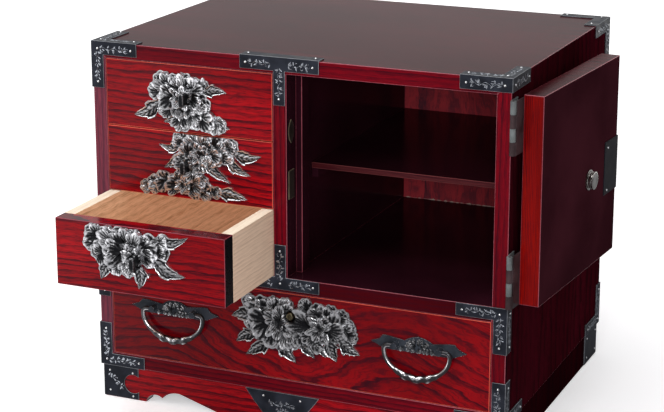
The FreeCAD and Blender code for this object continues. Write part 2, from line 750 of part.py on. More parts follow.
def bail(hand):
    """One bent rod: pin, round corner, side and bottom arcs on one half, then its mirror image.

    The bottom arc is as large as it has to be to meet both side arcs smoothly.
    """
    half, drop = size("bail_half_width"), size("bail_drop")
    corner, flank = size("bail_corner_radius"), size("bail_side_radius")
    rod = size("bail_rod_radius")
    shoulder = size("post_spacing") / 2 + size("post_radius") + size("bail_shoulder_gap")
    out = (half - flank).value
    down = (drop - corner).value
    bottom_radius = (down * down + out * out - flank.value ** 2) / (2 * (down - flank.value))
    lean = math.atan2(out, bottom_radius - down)
    meet_x_share = bottom_radius * math.sin(lean) / half.value
    meet_z_share = (drop.value - bottom_radius * (1 - math.cos(lean))) / drop.value
    lean_side = (math.pi / 2 - lean) / 2
    side_x_share = (out + flank.value * math.cos(lean_side)) / half.value
    side_z_share = (corner.value + flank.value * math.sin(lean_side)) / drop.value
    low_x_share = bottom_radius * math.sin(lean / 2) / half.value
    low_z_share = (drop.value - bottom_radius * (1 - math.cos(lean / 2))) / drop.value
    diagonal = corner * (1 - math.sqrt(0.5))
    steps = [((half - corner, ZERO),)]
    steps.append(((half - diagonal, -diagonal), (half, -corner)))
    side_way = (half * side_x_share, -(drop * side_z_share))
    meet = (half * meet_x_share, -(drop * meet_z_share))
    steps.append((side_way, meet))
    steps.append(((half * low_x_share, -(drop * low_z_share)), (ZERO, -drop)))
    body = doc.addObject("PartDesign::Body", hand + "_bail_body")
    path = draw(body, hand + "_path", "XZ", (shoulder, ZERO), steps, closed=False)
    profile = body.newObject("Sketcher::SketchObject", hand + "_section")
    plane = [item for item in body.Origin.OriginFeatures if item.Role == "YZ_Plane"][0]
    profile.AttachmentSupport = [(plane, "")]
    profile.MapMode = "FlatFace"
    profile.AttachmentOffset = Placement(Vector(0, 0, shoulder.value), Rotation())
    profile.setExpression(".AttachmentOffset.Base.z", shoulder.text)
    add_circle(profile, rod)
    pipe = body.newObject("PartDesign::AdditivePipe", hand + "_rod")
    pipe.Profile = profile
    pipe.Spine = path
    doc.recompute()
    mirror = body.newObject("PartDesign::Mirrored", hand + "_other_half")
    mirror.Originals = [pipe]
    mirror.MirrorPlane = (plane, [""])
    body.Tip = mirror
    doc.recompute()
    spread = math.asin(GRIP_SPREAD_SHARE * half.value / bottom_radius)
    grip = doc.addObject("Part::Torus", hand + "_grip")
    grip.Radius1 = bottom_radius
    grip.setExpression("Radius2", size("bail_grip_radius").text)
    grip.Angle3 = math.degrees(2 * spread)
    centre = Vector(0, 0, bottom_radius - drop.value)
    turn = Rotation(Vector(1, 0, 0), 90) * Rotation(Vector(0, 0, 1), -90 - math.degrees(spread))
    grip.Placement = Placement(centre, turn)
    pins = []
    for way in (-1, 1):
        inner = (size("post_spacing") / 2 + size("bail_pin_grip")) * way
        length = size("post_radius") + size("bail_shoulder_gap")
        pins.append(cylinder((inner, ZERO, ZERO), size("bail_pin_radius"), length, Vector(way, 0, 0)))
    return fused([body, grip] + pins)


def add_circle(sketch, radius):
    """A circle on the sketch's origin with its radius from the sheet."""
    circle = Part.Circle(Vector(0, 0, 0), Vector(0, 0, 1), radius.value)
    index = sketch.addGeometry(circle, False)
    sketch.addConstraint(Sketcher.Constraint("Coincident", index, 3, -1, 1))
    number = sketch.addConstraint(Sketcher.Constraint("Radius", index, radius.value))
    sketch.setExpression("Constraints[%d]" % number, radius.text)


def cabinet():
    """What the cabinet holds: a shelf on cleats, the door's stop and two small plates."""
    deep = inner_back - size("shelf_setback")
    opening = upper_top - upper_bottom
    level = upper_bottom + opening * SHELF_LEVEL_SHARE
    board, setback = size("shelf_board"), size("shelf_setback")
    keep("cabinet_shelf", box((cabinet_left, setback, level - board), (cabinet_width, deep, board)))
    cleat, thick = size("cleat_width"), size("cleat_height")
    cleats = []
    for x in (cabinet_left, width - side - cleat):
        cleats.append(box((x, setback, level - board - thick), (cleat, deep, thick)))
    keep("shelf_cleats", grouped(cleats))
    stop_y = size("door_thickness") - size("door_proud") + size("stop_gap")
    stop = (size("stop_width"), size("stop_depth"), opening)
    keep("door_stop", box((cabinet_left, stop_y, upper_bottom), stop))
    centre_y = size("door_thickness") / 2
    thin, tall, broad = size("strike_sheet"), size("strike_length"), size("strike_width")
    strike_z = upper_bottom + opening * LOCK_LEVEL_SHARE - tall / 2
    strike = box((cabinet_left, centre_y - broad / 2, strike_z), (thin, broad, tall))
    tall, broad = size("lens_length"), size("lens_width")
    middle_left, middle_right = (ZERO, tall / 2), (broad, tall / 2)
    steps = [(middle_left, (broad / 2, tall)), (middle_right, (broad / 2, ZERO))]
    lens = plate_body("lens_plate", "YZ", (broad / 2, ZERO), steps, thin)
    lens_z = upper_bottom + opening * LENS_LEVEL_SHARE - tall / 2
    put(lens, cabinet_left, centre_y - broad / 2, lens_z)
    keep("stile_plates", grouped([strike, lens]))


def screw_heads(places, direction):
    """Low round heads at the given places."""
    return [cylinder(place, size("screw_radius"), size("screw_height"), direction) for place in places]


def hinge(name, low_z):
    """A butt hinge round the front right corner: one leaf on the side, one across to the door."""
    length, sheet_thick = size("hinge_length"), size("hinge_sheet")
    axis_x = width + size("hinge_axis_out")
    axis_y = -size("hinge_axis_forward")
    barrel, pin = size("hinge_barrel_radius"), size("hinge_pin_radius")
    clear, slit = size("hinge_leaf_clearance"), size("hinge_knuckle_gap")
    step = length / HINGE_KNUCKLES
    upward = Vector(0, 0, 1)
    frame, moving = [], []
    leaf_y = size("hinge_leaf_setback")
    frame_leaf = size("hinge_frame_leaf")
    frame.append(box((width, leaf_y, low_z), (sheet_thick, frame_leaf, length)))
    edge = width - side - size("door_hinge_gap")
    reach = axis_x - barrel - clear - edge + size("hinge_door_leaf")
    leaf_x = axis_x - barrel - clear - reach
    door_leaf_y = -size("door_proud") - sheet_thick
    moving.append(box((leaf_x, door_leaf_y, low_z), (reach, sheet_thick, length)))
    for number in range(HINGE_KNUCKLES):
        z = low_z + step * number + slit / 2
        tall = step - slit
        knuckle = cylinder((axis_x, axis_y, z), barrel, tall, upward)
        if number % 2:
            tab = box((width, axis_y, z), (sheet_thick, leaf_y - axis_y + clear, tall))
            joined = fused([knuckle, tab])
            bore = pin + size("hinge_pin_clearance")
            hole = cylinder((axis_x, axis_y, z - overrun), bore, tall + overrun * 2, upward)
            frame.append(cut(joined, hole))
        else:
            start = axis_x - barrel - clear * 2
            tab = box((start, door_leaf_y, z), (axis_x - start, sheet_thick, tall))
            moving += [knuckle, tab]
    moving.append(cylinder((axis_x, axis_y, low_z), pin, length, upward))
    rows = [low_z + length * share for share in SCREW_ROW_SHARES]
    frame_x = width + sheet_thick
    frame_y = leaf_y + frame_leaf * SCREW_PLACE_SHARE
    frame += screw_heads([(frame_x, frame_y, z) for z in rows], Vector(1, 0, 0))
    door_x = edge - size("hinge_door_leaf") * SCREW_PLACE_SHARE
    moving += screw_heads([(door_x, door_leaf_y, z) for z in rows], Vector(0, -1, 0))
    keep(name + "_hinge_frame_leaf", fused(frame))
    keep(name + "_hinge_door_leaf", fused(moving))


SCREW_ROW_SHARES = (0.15, 0.5, 0.85)
SCREW_PLACE_SHARE = 0.55


def door():
    """The cabinet door, flush when shut, with its hinges, lock plate, ferrule and fitting."""
    left = cabinet_left + size("door_free_gap")
    wide = cabinet_width - size("door_free_gap") - size("door_hinge_gap")
    low = upper_bottom + size("door_end_gap")
    tall = upper_top - upper_bottom - size("door_end_gap") * 2
    thick, proud = size("door_thickness"), size("door_proud")
    outline = [((wide, ZERO),), ((wide, tall),), ((ZERO, tall),), ((ZERO, ZERO),)]
    panel = plate_body("door_panel", "XZ", (ZERO, ZERO), outline, thick, True)
    put(keep("door_panel", panel), left, -proud, low)
    inner = thick - proud
    metal, plate_wide = size("lock_plate_sheet"), size("lock_plate_width")
    plate_tall = size("lock_plate_length")
    level = upper_bottom + (upper_top - upper_bottom) * LOCK_LEVEL_SHARE
    plate_z = level - plate_tall / 2
    face = box((left - metal, inner, plate_z), (plate_wide + metal, metal, plate_tall))
    edge = box((left - metal, -proud, plate_z), (metal, thick, plate_tall))
    keep("door_lock_plate", fused([face, edge]))
    ferrule_x = left + wide - wide * FERRULE_SHARE
    radius, reach, waist = size("ferrule_radius"), size("ferrule_reach"), size("ferrule_waist")
    rings = []
    inward = Vector(0, 1, 0)
    for start_share, length_share, inset in FERRULE_RING_SHARES:
        start = (ferrule_x, inner + reach * start_share, level)
        rings.append(cylinder(start, radius - waist * inset, reach * length_share, inward))
    keep("door_ferrule", fused(rings))
    across = size("door_casting_size")
    corner = (ferrule_x - across / 2, -proud, level - across / 2)
    relief("door_fitting", corner, (across, across), DOOR_LEAF_SHARES, DOOR_LOBE_SHARES)
    blade, pull_tall, pull_reach = size("pull_width"), size("pull_height"), size("door_pull_reach")
    place = (ferrule_x - blade / 2, -proud - pull_reach, level - pull_tall / 2)
    pull = box(place, (blade, pull_reach, pull_tall))
    casting = parts.pop("door_fitting")
    keep("door_fitting", fused([casting, pull]))
    hinge("upper", upper_top - size("upper_hinge_inset") - size("hinge_length"))
    hinge("lower", upper_bottom + size("lower_hinge_inset"))


# Along the ferrule from the door: where each ring starts, its length, and how many waist
# steps smaller it is.
FERRULE_RING_SHARES = ((0.0, 0.22, 0), (0.2, 0.42, 2), (0.6, 0.2, 1), (0.78, 0.22, 3))


def corner_strips(right, rear, low_z, up, with_upright, capped):
    """Strips of one corner bracket: along the front or back, along the side, and up or down."""
    metal, long_side = sheet_metal, size("bracket_side_arm")
    long_front, upright = size("bracket_front_arm"), size("bracket_upright")
    cap = metal if capped else ZERO
    strips = []

    def add(x, wide_x, y, deep_y, z, tall_z):
        y_low = depth - y - deep_y if rear else y
        strips.append(box((mirrored(x, wide_x, right), y_low, z), (wide_x, deep_y, tall_z)))

    band_z = low_z if up else low_z - band
    add(-metal, long_front + metal, -metal, metal, band_z, band + cap)
    add(-metal, metal, -metal, long_side + metal, band_z, band + cap)
    if capped:
        add(-metal, long_front + metal, -metal, band + metal, low_z, metal)
        add(-metal, band + metal, -metal, long_side + metal, low_z, metal)
    if with_upright:
        upright_z = low_z if up else low_z - upright
        add(-metal, band + metal, -metal, metal, upright_z, upright)
        add(-metal, metal, -metal, band + metal, upright_z, upright)
    return strips


def middle_side_strips(right):
    """Strips of the bracket where the middle board meets a side."""
    metal, low_z = sheet_metal, upper_bottom - size("bracket_upright")
    tall = size("bracket_upright")
    long_front = size("bracket_front_arm")
    wide_arm, wide_up = long_front + metal, band + metal
    front_arm = (mirrored(-metal, wide_arm, right), -metal, upper_bottom - band)
    front_up = (mirrored(-metal, wide_up, right), -metal, low_z)
    side_up = (mirrored(-metal, metal, right), -metal, low_z)
    return [
        box(front_arm, (wide_arm, metal, band)),
        box(front_up, (wide_up, metal, tall)),
        box(side_up, (metal, band + metal, tall)),
    ]


def tee_strips(edge_z, leg_z, leg_tall, capped):
    """Strips of a bracket where the partition meets the top or the middle board."""
    metal, wide_tee, leg = sheet_metal, size("tee_width"), size("bracket_leg_band")
    centre = side + column + partition / 2
    cap = metal if capped else ZERO
    left = centre - wide_tee / 2
    strips = [
        box((left, -metal, edge_z - band), (wide_tee, metal, band + cap)),
        box((centre - leg / 2, -metal, leg_z), (leg, metal, leg_tall)),
    ]
    if capped:
        strips.append(box((left, -metal, edge_z), (wide_tee, band + metal, metal)))
    return strips


def foot_plate(name, right, rear):
    """A foot's plate: a bracket-shaped front and a plain strip round the side."""
    metal, inset = sheet_metal, size("base_inset")
    wide, tall = size("foot_plate_width"), size("foot_plate_height")
    lift = size("foot_plate_lift")
    upper_z, lower_z = tall * FOOT_PLATE_UPPER_SHARE, tall * FOOT_PLATE_LOWER_SHARE
    waist = (wide * FOOT_PLATE_WAIST_SHARE, (upper_z + lower_z) / 2)
    steps = [
        ((wide, ZERO),),
        ((wide, lower_z),),
        (waist, (wide, upper_z)),
        ((wide, tall),),
        ((ZERO, tall),),
        ((ZERO, ZERO),),
    ]
    if right:
        steps = [tuple((-x, z) for x, z in step) for step in steps]
    body = plate_body(name + "_face", "XZ", (ZERO, ZERO), steps, metal, rear)
    face_y = depth - inset if rear else inset
    put(body, mirrored(inset, ZERO, right), face_y, lift)
    long_side = size("foot_plate_side") + metal
    y = depth - inset + metal - long_side if rear else inset - metal
    strip = box((mirrored(inset - metal, metal, right), y, lift), (metal, long_side, tall))
    keep(name, fused([body, strip]))


def centre_plate():
    """The plate on the base under the partition, wide above and narrow below."""
    wide, tall = size("centre_plate_width"), size("centre_plate_height")
    shoulder_x, shoulder_z = CENTRE_PLATE_SHOULDER_SHARES
    foot_x = wide * CENTRE_PLATE_FOOT_SHARE
    shoulder = (wide * shoulder_x, tall * shoulder_z)
    steps = [
        ((wide - foot_x, ZERO),),
        ((wide - shoulder[0], shoulder[1]),),
        ((wide, tall),),
        ((ZERO, tall),),
        (shoulder,),
        ((foot_x, ZERO),),
    ]
    body = plate_body("base_centre_face", "XZ", (foot_x, ZERO), steps, sheet_metal)
    z = size("foot_plate_lift") + size("foot_plate_height") - tall
    place = side + column + partition / 2 - wide / 2
    put(keep("base_centre_plate", body), place, size("base_inset"), z)


def brackets():
    """All the sheet brackets of the carcass and the plates of the base."""
    for hand, right in (("left", False), ("right", True)):
        front_top = corner_strips(right, False, height, False, not right, True)
        keep("top_%s_bracket" % hand, fused(front_top))
        front_bottom = corner_strips(right, False, base, True, True, False)
        keep("bottom_%s_bracket" % hand, fused(front_bottom))
        rear_top = fused(corner_strips(right, True, height, False, True, True))
        rear_bottom = fused(corner_strips(right, True, base, True, True, False))
        keep("rear_%s_brackets" % hand, grouped([rear_top, rear_bottom]))
        keep("middle_%s_bracket" % hand, fused(middle_side_strips(right)))
        foot_plate("front_%s_foot_plate" % hand, right, False)
        foot_plate("rear_%s_foot_plate" % hand, right, True)
    leg = size("bracket_upright")
    keep("top_tee_bracket", fused(tee_strips(height, height - leg, leg, True)))
    tee_leg = size("middle_tee_leg")
    low_z = upper_bottom - band
    keep("middle_tee_bracket", fused(tee_strips(upper_bottom, low_z, tee_leg + band, False)))
    centre_plate()


def nail(x, y, z, direction):
    """A domed nail head standing on a bracket."""
    item = doc.addObject("Part::Sphere", "nail")
    item.setExpression("Radius", size("nail_radius").text)
    item.Angle1 = 0
    return put(item, x, y, z, Rotation(Vector(0, 0, 1), direction))


def nails():
    """Every bracket nail: near each arm's end and each corner, in the middle of its band."""
    front, out = Vector(0, -1, 0), {False: Vector(-1, 0, 0), True: Vector(1, 0, 0)}
    up, back = Vector(0, 0, 1), Vector(0, 1, 0)
    metal, half = sheet_metal, band * NAIL_INSET_SHARE
    arm, long_side = size("bracket_front_arm") - half, size("bracket_side_arm") - half
    upright = size("bracket_upright") - half
    heads = []
    for right in (False, True):

        def across(x):
            return mirrored(x, ZERO, right)

        edge = across(-metal)
        for z in (height - half, base + half, upper_bottom - half):
            heads.append(nail(across(half), -metal, z, front))
            heads.append(nail(across(arm), -metal, z, front))
        for z in (height - half, base + half):
            for y in (half, long_side, depth - long_side, depth - half):
                heads.append(nail(edge, y, z, out[right]))
            heads.append(nail(across(half), depth + metal, z, back))
            heads.append(nail(across(arm), depth + metal, z, back))
        for x, y in ((half, half), (arm, half), (half, long_side)):
            heads.append(nail(across(x), y, height + metal, up))
            heads.append(nail(across(x), depth - y, height + metal, up))
        rows = [upper_bottom - upright, base + upright]
        heads += [nail(edge, half, upper_bottom - half, out[right])]
        if not right:
            rows.append(height - upright)
        for z in rows:
            heads.append(nail(across(half), -metal, z, front))
            heads.append(nail(edge, half, z, out[right]))
        for z in (height - upright, base + upright):
            heads.append(nail(edge, depth - half, z, out[right]))
            heads.append(nail(across(half), depth + metal, z, back))
        heads += foot_nails(across, right, out[right])
    heads += tee_nails(front, up)
    keep("bracket_nails", grouped(heads))


def foot_nails(across, right, outward):
    """Nails of the two foot plates on one side."""
    metal, inset = sheet_metal, size("base_inset")
    half = band * NAIL_INSET_SHARE
    far = inset + size("foot_plate_width") - half
    low_z = size("foot_plate_lift") + size("foot_plate_height") * FOOT_NAIL_SHARES[0]
    high_z = size("foot_plate_lift") + size("foot_plate_height") * FOOT_NAIL_SHARES[1]
    heads = []
    toe_z = size("foot_plate_lift") + size("foot_plate_height") * TOE_NAIL_SHARE
    places = [(inset + half, low_z), (inset + half, high_z), (far, toe_z), (far, high_z)]
    for x, z in places:
        heads.append(nail(across(x), inset - metal, z, Vector(0, -1, 0)))
        heads.append(nail(across(x), depth - inset + metal, z, Vector(0, 1, 0)))
    side_far = inset + size("foot_plate_side") - half
    edge = mirrored(inset - metal, ZERO, right)
    for y in (inset + half, side_far, depth - inset - half, depth - side_far):
        for z in (low_z, high_z):
            heads.append(nail(edge, y, z, outward))
    return heads


FOOT_NAIL_SHARES = (0.20, 0.84)
TOE_NAIL_SHARE = 0.10


def tee_nails(front, up):
    """Nails of the two tee brackets and of the base's centre plate."""
    metal, half = sheet_metal, band * NAIL_INSET_SHARE
    centre = side + column + partition / 2
    spread = size("tee_width") / 2 - half
    plate_spread = size("centre_plate_width") / 2 * CENTRE_NAIL_SHARE
    plate_z = size("foot_plate_lift") + size("foot_plate_height") * FOOT_NAIL_SHARES[1]
    heads = []
    for way in (-1, 1):
        for z in (height - half, upper_bottom - half):
            heads.append(nail(centre + spread * way, -metal, z, front))
        heads.append(nail(centre + spread * way, half, height + metal, up))
        inset = size("base_inset") - metal
        heads.append(nail(centre + plate_spread * way, inset, plate_z, front))
    heads.append(nail(centre, -metal, height - size("bracket_upright") + half, front))
    heads.append(nail(centre, -metal, upper_bottom + size("middle_tee_leg") - half, front))
    heads.append(nail(centre, -metal, upper_bottom - half, front))
    return heads


CENTRE_NAIL_SHARE = 0.50


def swing_door():
    """Turns the shut door about its hinge to where it stands, folded back along the side."""
    axis = Vector(width.value + size("hinge_axis_out").value, -size("hinge_axis_forward").value, 0)
    swing = Placement(Vector(0, 0, 0), Rotation(Vector(0, 0, 1), DOOR_OPEN_ANGLE), axis)
    for label, item in parts.items():
        if label.startswith("door_") and label != "door_stop" or label.endswith("_door_leaf"):
            item.Placement = swing.multiply(item.Placement)


def pull_out_drawer():
    """Slides the lowest small drawer forward."""
    step = Vector(0, -size("drawer_pulled_out").value, 0)
    for label, item in parts.items():
        if label.startswith("lower_drawer"):
            item.Placement = Placement(step, Rotation()).multiply(item.Placement)


def move_origin():
    """Puts the origin on the floor under the middle of everything."""
    bounds = FreeCAD.BoundBox()
    for item in parts.values():
        bounds.add(item.Shape.optimalBoundingBox(False))
    origin = Vector(bounds.Center.x, bounds.Center.y, bounds.ZMin)
    for item in parts.values():
        item.Placement = Placement(-origin, Rotation()).multiply(item.Placement)
    print("origin at x %.4f y %.4f z %.4f from the front left corner" % tuple(origin))
    print("size %.3f x %.3f x %.3f" % (bounds.XLength, bounds.YLength, bounds.ZLength))


def check_and_write():
    """Refuses a failed feature or a bad shape, then writes each sub-part's file."""
    for item in doc.Objects:
        if "Invalid" in item.State or "Error" in item.State:
            raise RuntimeError("%s failed: %s" % (item.Label, item.State))
    os.makedirs("parts", exist_ok=True)
    for label, item in parts.items():
        if item.Shape.isNull() or not item.Shape.isValid() or not item.Shape.Solids:
            raise RuntimeError("%s has no valid solid" % label)
    for label, item in parts.items():
        item.Shape.exportStep("parts/%s.step" % label)
    print("%d sub-parts written" % len(parts))


carcass()
base_frame()
small_drawers()
wide_drawer()
cabinet()
door()
brackets()
nails()
doc.recompute()
swing_door()
pull_out_drawer()
move_origin()
check_and_write()
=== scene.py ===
"""The looks of a small red lacquered clothing chest, laid out as an add-on and run as a script.

Every piece is built round the packed CAD model: boards and sheet ironwork are softened copies of
their CAD nodes, while castings, handles, nails, scrolls and turned pieces are surfaces worked
out with numpy. Lengths are metres in the CAD model's frame.
"""
import bmesh
import bpy
import json
import math
import numpy as np
from bpy.props import FloatProperty, FloatVectorProperty, IntProperty, PointerProperty
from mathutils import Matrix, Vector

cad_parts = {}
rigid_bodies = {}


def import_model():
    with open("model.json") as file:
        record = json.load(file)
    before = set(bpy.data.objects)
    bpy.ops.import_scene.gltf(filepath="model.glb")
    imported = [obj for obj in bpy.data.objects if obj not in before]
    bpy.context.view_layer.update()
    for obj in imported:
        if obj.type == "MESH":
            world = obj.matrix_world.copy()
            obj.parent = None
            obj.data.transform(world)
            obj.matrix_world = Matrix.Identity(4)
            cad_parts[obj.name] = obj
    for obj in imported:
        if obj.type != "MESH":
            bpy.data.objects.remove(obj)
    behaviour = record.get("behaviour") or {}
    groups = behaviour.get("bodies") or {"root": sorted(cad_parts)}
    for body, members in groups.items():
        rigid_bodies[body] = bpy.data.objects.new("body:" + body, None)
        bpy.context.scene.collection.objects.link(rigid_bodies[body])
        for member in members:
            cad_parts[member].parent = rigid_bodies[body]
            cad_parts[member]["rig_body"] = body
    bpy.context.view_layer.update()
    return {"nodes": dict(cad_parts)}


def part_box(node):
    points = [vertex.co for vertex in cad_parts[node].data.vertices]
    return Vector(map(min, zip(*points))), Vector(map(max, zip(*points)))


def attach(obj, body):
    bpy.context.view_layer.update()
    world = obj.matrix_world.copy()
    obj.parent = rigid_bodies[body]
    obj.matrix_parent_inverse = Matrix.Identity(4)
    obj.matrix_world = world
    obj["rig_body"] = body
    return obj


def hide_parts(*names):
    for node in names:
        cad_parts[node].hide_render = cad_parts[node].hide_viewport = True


bl_info = {
    "name": "Lacquered clothing chest",
    "version": (1, 0, 0),
    "blender": (4, 5, 0),
    "location": "3D View > Sidebar > Chest",
    "description": "Dresses the CAD model of a lacquered chest with cast iron fittings",
    "category": "Add Mesh",
}

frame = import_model()
DRAWERS = ("upper", "middle", "lower")
HANDS = ("left", "right")
OUT = np.array((0.0, -1.0, 0.0))
RIGHT = np.array((1.0, 0.0, 0.0))
UP = np.array((0.0, 0.0, 1.0))
MILLIMETRE = 0.001
MERGE = 1e-6
FACING_COSINE = 0.9
FLAT_ANGLE = math.radians(0.5)
DOOR_FOLD = math.radians(266.0)
LEAF_OF_DOOR = np.array((math.cos(DOOR_FOLD), math.sin(DOOR_FOLD), 0.0))
OUT_OF_DOOR = np.array((math.sin(DOOR_FOLD), -math.cos(DOOR_FOLD), 0.0))

# A casting's leaves: root and tip as shares of its area, width as a share of the area's width,
# height as a share of the relief.
LEAVES = {
    "upper": (
        (0.606, 0.621, 0.767, 0.649, 0.071, 0.55),
        (0.320, 0.435, 0.130, 0.192, 0.101, 0.60),
        (0.558, 0.177, 0.785, 0.106, 0.083, 0.50),
        (0.439, 0.163, 0.332, 0.120, 0.048, 0.40),
    ),
    "middle": (
        (0.463, 0.817, 0.296, 0.803, 0.065, 0.50),
        (0.511, 0.660, 0.332, 0.445, 0.077, 0.65),
        (0.796, 0.788, 0.993, 0.774, 0.083, 0.55),
        (0.749, 0.702, 0.921, 0.459, 0.071, 0.50),
        (0.606, 0.602, 0.785, 0.316, 0.071, 0.65),
        (0.689, 0.159, 0.898, 0.087, 0.083, 0.55),
    ),
    "lower": (
        (0.320, 0.469, 0.243, 0.169, 0.089, 0.55),
        (0.499, 0.484, 0.499, 0.097, 0.101, 0.60),
        (0.594, 0.598, 0.808, 0.369, 0.101, 0.60),
        (0.606, 0.884, 0.832, 0.970, 0.077, 0.50),
    ),
    "wide": (
        (0.223, 0.691, 0.030, 0.659, 0.120, 0.50),
        (0.223, 0.489, 0.063, 0.362, 0.093, 0.55),
        (0.330, 0.415, 0.137, 0.224, 0.100, 0.60),
        (0.383, 0.436, 0.517, 0.213, 0.107, 0.60),
        (0.557, 0.426, 0.657, 0.298, 0.080, 0.50),
        (0.637, 0.479, 0.743, 0.330, 0.080, 0.55),
        (0.757, 0.542, 0.823, 0.298, 0.113, 0.55),
        (0.837, 0.564, 0.990, 0.415, 0.107, 0.55),
    ),
    "door": (
        (0.300, 0.560, 0.040, 0.720, 0.140, 0.50),
        (0.300, 0.420, 0.060, 0.260, 0.140, 0.50),
        (0.680, 0.580, 0.950, 0.740, 0.150, 0.50),
        (0.680, 0.420, 0.940, 0.270, 0.150, 0.50),
        (0.500, 0.320, 0.560, 0.050, 0.140, 0.50),
        (0.440, 0.660, 0.360, 0.940, 0.140, 0.50),
        (0.560, 0.660, 0.660, 0.930, 0.130, 0.50),
    ),
}
# A casting's blossoms: middle as shares of its area, radius as a share of the area's width,
# height as a share of the relief, number of petals in the outer ring.
BLOSSOMS = {
    "upper": (
        (0.332, 0.735, 0.060, 0.60, 6), (0.410, 0.721, 0.054, 0.70, 5),
        (0.481, 0.750, 0.054, 0.60, 6), (0.558, 0.692, 0.054, 0.55, 5),
        (0.612, 0.735, 0.030, 0.40, 4), (0.285, 0.592, 0.048, 0.50, 5),
        (0.368, 0.535, 0.065, 0.85, 6), (0.463, 0.521, 0.077, 1.00, 7),
        (0.564, 0.492, 0.060, 0.80, 6), (0.612, 0.435, 0.042, 0.55, 5),
        (0.350, 0.320, 0.048, 0.55, 5), (0.439, 0.306, 0.048, 0.65, 5),
        (0.529, 0.335, 0.048, 0.55, 5), (0.463, 0.149, 0.054, 0.70, 5),
        (0.546, 0.192, 0.054, 0.80, 6), (0.630, 0.192, 0.060, 0.70, 6),
        (0.707, 0.149, 0.048, 0.50, 5),
    ),
    "middle": (
        (0.451, 0.888, 0.054, 0.60, 5), (0.535, 0.888, 0.054, 0.70, 5),
        (0.624, 0.888, 0.054, 0.80, 6), (0.713, 0.888, 0.054, 0.70, 5),
        (0.785, 0.874, 0.048, 0.50, 5), (0.499, 0.745, 0.054, 0.80, 5),
        (0.594, 0.717, 0.071, 1.00, 7), (0.689, 0.745, 0.054, 0.80, 6),
        (0.755, 0.717, 0.048, 0.60, 5), (0.570, 0.259, 0.060, 0.95, 6),
        (0.450, 0.560, 0.055, 0.70, 5), (0.560, 0.560, 0.065, 0.95, 6),
        (0.640, 0.600, 0.050, 0.80, 5), (0.520, 0.400, 0.050, 0.75, 5),
        (0.450, 0.340, 0.045, 0.60, 5),
        (0.201, 0.130, 0.036, 0.45, 4), (0.261, 0.187, 0.048, 0.60, 5),
        (0.320, 0.245, 0.054, 0.70, 6), (0.392, 0.202, 0.054, 0.75, 6),
        (0.463, 0.216, 0.054, 0.70, 5), (0.535, 0.159, 0.054, 0.60, 5),
        (0.618, 0.159, 0.048, 0.60, 5), (0.683, 0.144, 0.036, 0.50, 4),
    ),
    "lower": (
        (0.201, 0.856, 0.054, 0.60, 5), (0.183, 0.712, 0.048, 0.55, 5),
        (0.237, 0.598, 0.054, 0.65, 5), (0.296, 0.813, 0.065, 0.80, 6),
        (0.392, 0.856, 0.060, 0.70, 6), (0.475, 0.841, 0.054, 0.85, 5),
        (0.570, 0.770, 0.065, 0.90, 6), (0.654, 0.698, 0.048, 0.60, 5),
        (0.344, 0.612, 0.071, 0.90, 6), (0.463, 0.584, 0.065, 1.00, 6),
        (0.570, 0.569, 0.048, 0.70, 5), (0.356, 0.398, 0.048, 0.60, 5),
        (0.427, 0.383, 0.048, 0.60, 5), (0.665, 0.856, 0.042, 0.50, 5),
    ),
    "wide": (
        (0.170, 0.850, 0.053, 0.50, 5), (0.257, 0.850, 0.053, 0.60, 5),
        (0.350, 0.872, 0.047, 0.55, 5), (0.443, 0.861, 0.053, 0.60, 5),
        (0.590, 0.893, 0.047, 0.50, 5), (0.683, 0.850, 0.053, 0.60, 5),
        (0.777, 0.850, 0.053, 0.60, 5), (0.857, 0.818, 0.053, 0.55, 5),
        (0.903, 0.712, 0.053, 0.50, 5), (0.923, 0.606, 0.047, 0.45, 5),
        (0.250, 0.649, 0.107, 0.80, 7), (0.397, 0.670, 0.120, 1.00, 8),
        (0.557, 0.606, 0.113, 0.90, 7), (0.703, 0.659, 0.100, 0.85, 7),
        (0.817, 0.670, 0.093, 0.75, 6), (0.350, 0.489, 0.080, 0.70, 6),
        (0.477, 0.489, 0.073, 0.75, 6), (0.623, 0.542, 0.073, 0.70, 6),
    ),
    "door": (
        (0.330, 0.500, 0.095, 0.60, 6), (0.380, 0.620, 0.095, 0.55, 6),
        (0.500, 0.670, 0.095, 0.60, 6), (0.620, 0.620, 0.095, 0.55, 6),
        (0.670, 0.500, 0.095, 0.60, 6), (0.620, 0.380, 0.095, 0.55, 6),
        (0.500, 0.330, 0.095, 0.60, 6), (0.380, 0.380, 0.095, 0.55, 6),
        (0.500, 0.500, 0.150, 0.90, 8),
    ),
}
# The hearts that a casting's petals point away from, as shares of its area.
HEARTS = {
    "upper": ((0.463, 0.521),),
    "middle": ((0.570, 0.560), (0.450, 0.216)),
    "lower": ((0.463, 0.600),),
    "wide": ((0.397, 0.670), (0.703, 0.659)),
    "door": ((0.500, 0.500),),
}


def a_colour(name, description, red, green, blue):
    """A setting of a colour."""
    return FloatVectorProperty(name=name, description=description, subtype="COLOR", min=0, max=1,
                               default=(red, green, blue))


def a_length(name, description, default, least=0.0):
    """A setting of a length."""
    return FloatProperty(name=name, description=description, unit="LENGTH", min=least,
                         default=default)


def an_angle(name, description, degrees):
    """A setting of an angle."""
    return FloatProperty(name=name, description=description, subtype="ANGLE",
                         default=math.radians(degrees))


def a_number(name, description, default, **limits):
    """A setting of a plain number."""
    return FloatProperty(name=name, description=description, default=default, **limits)


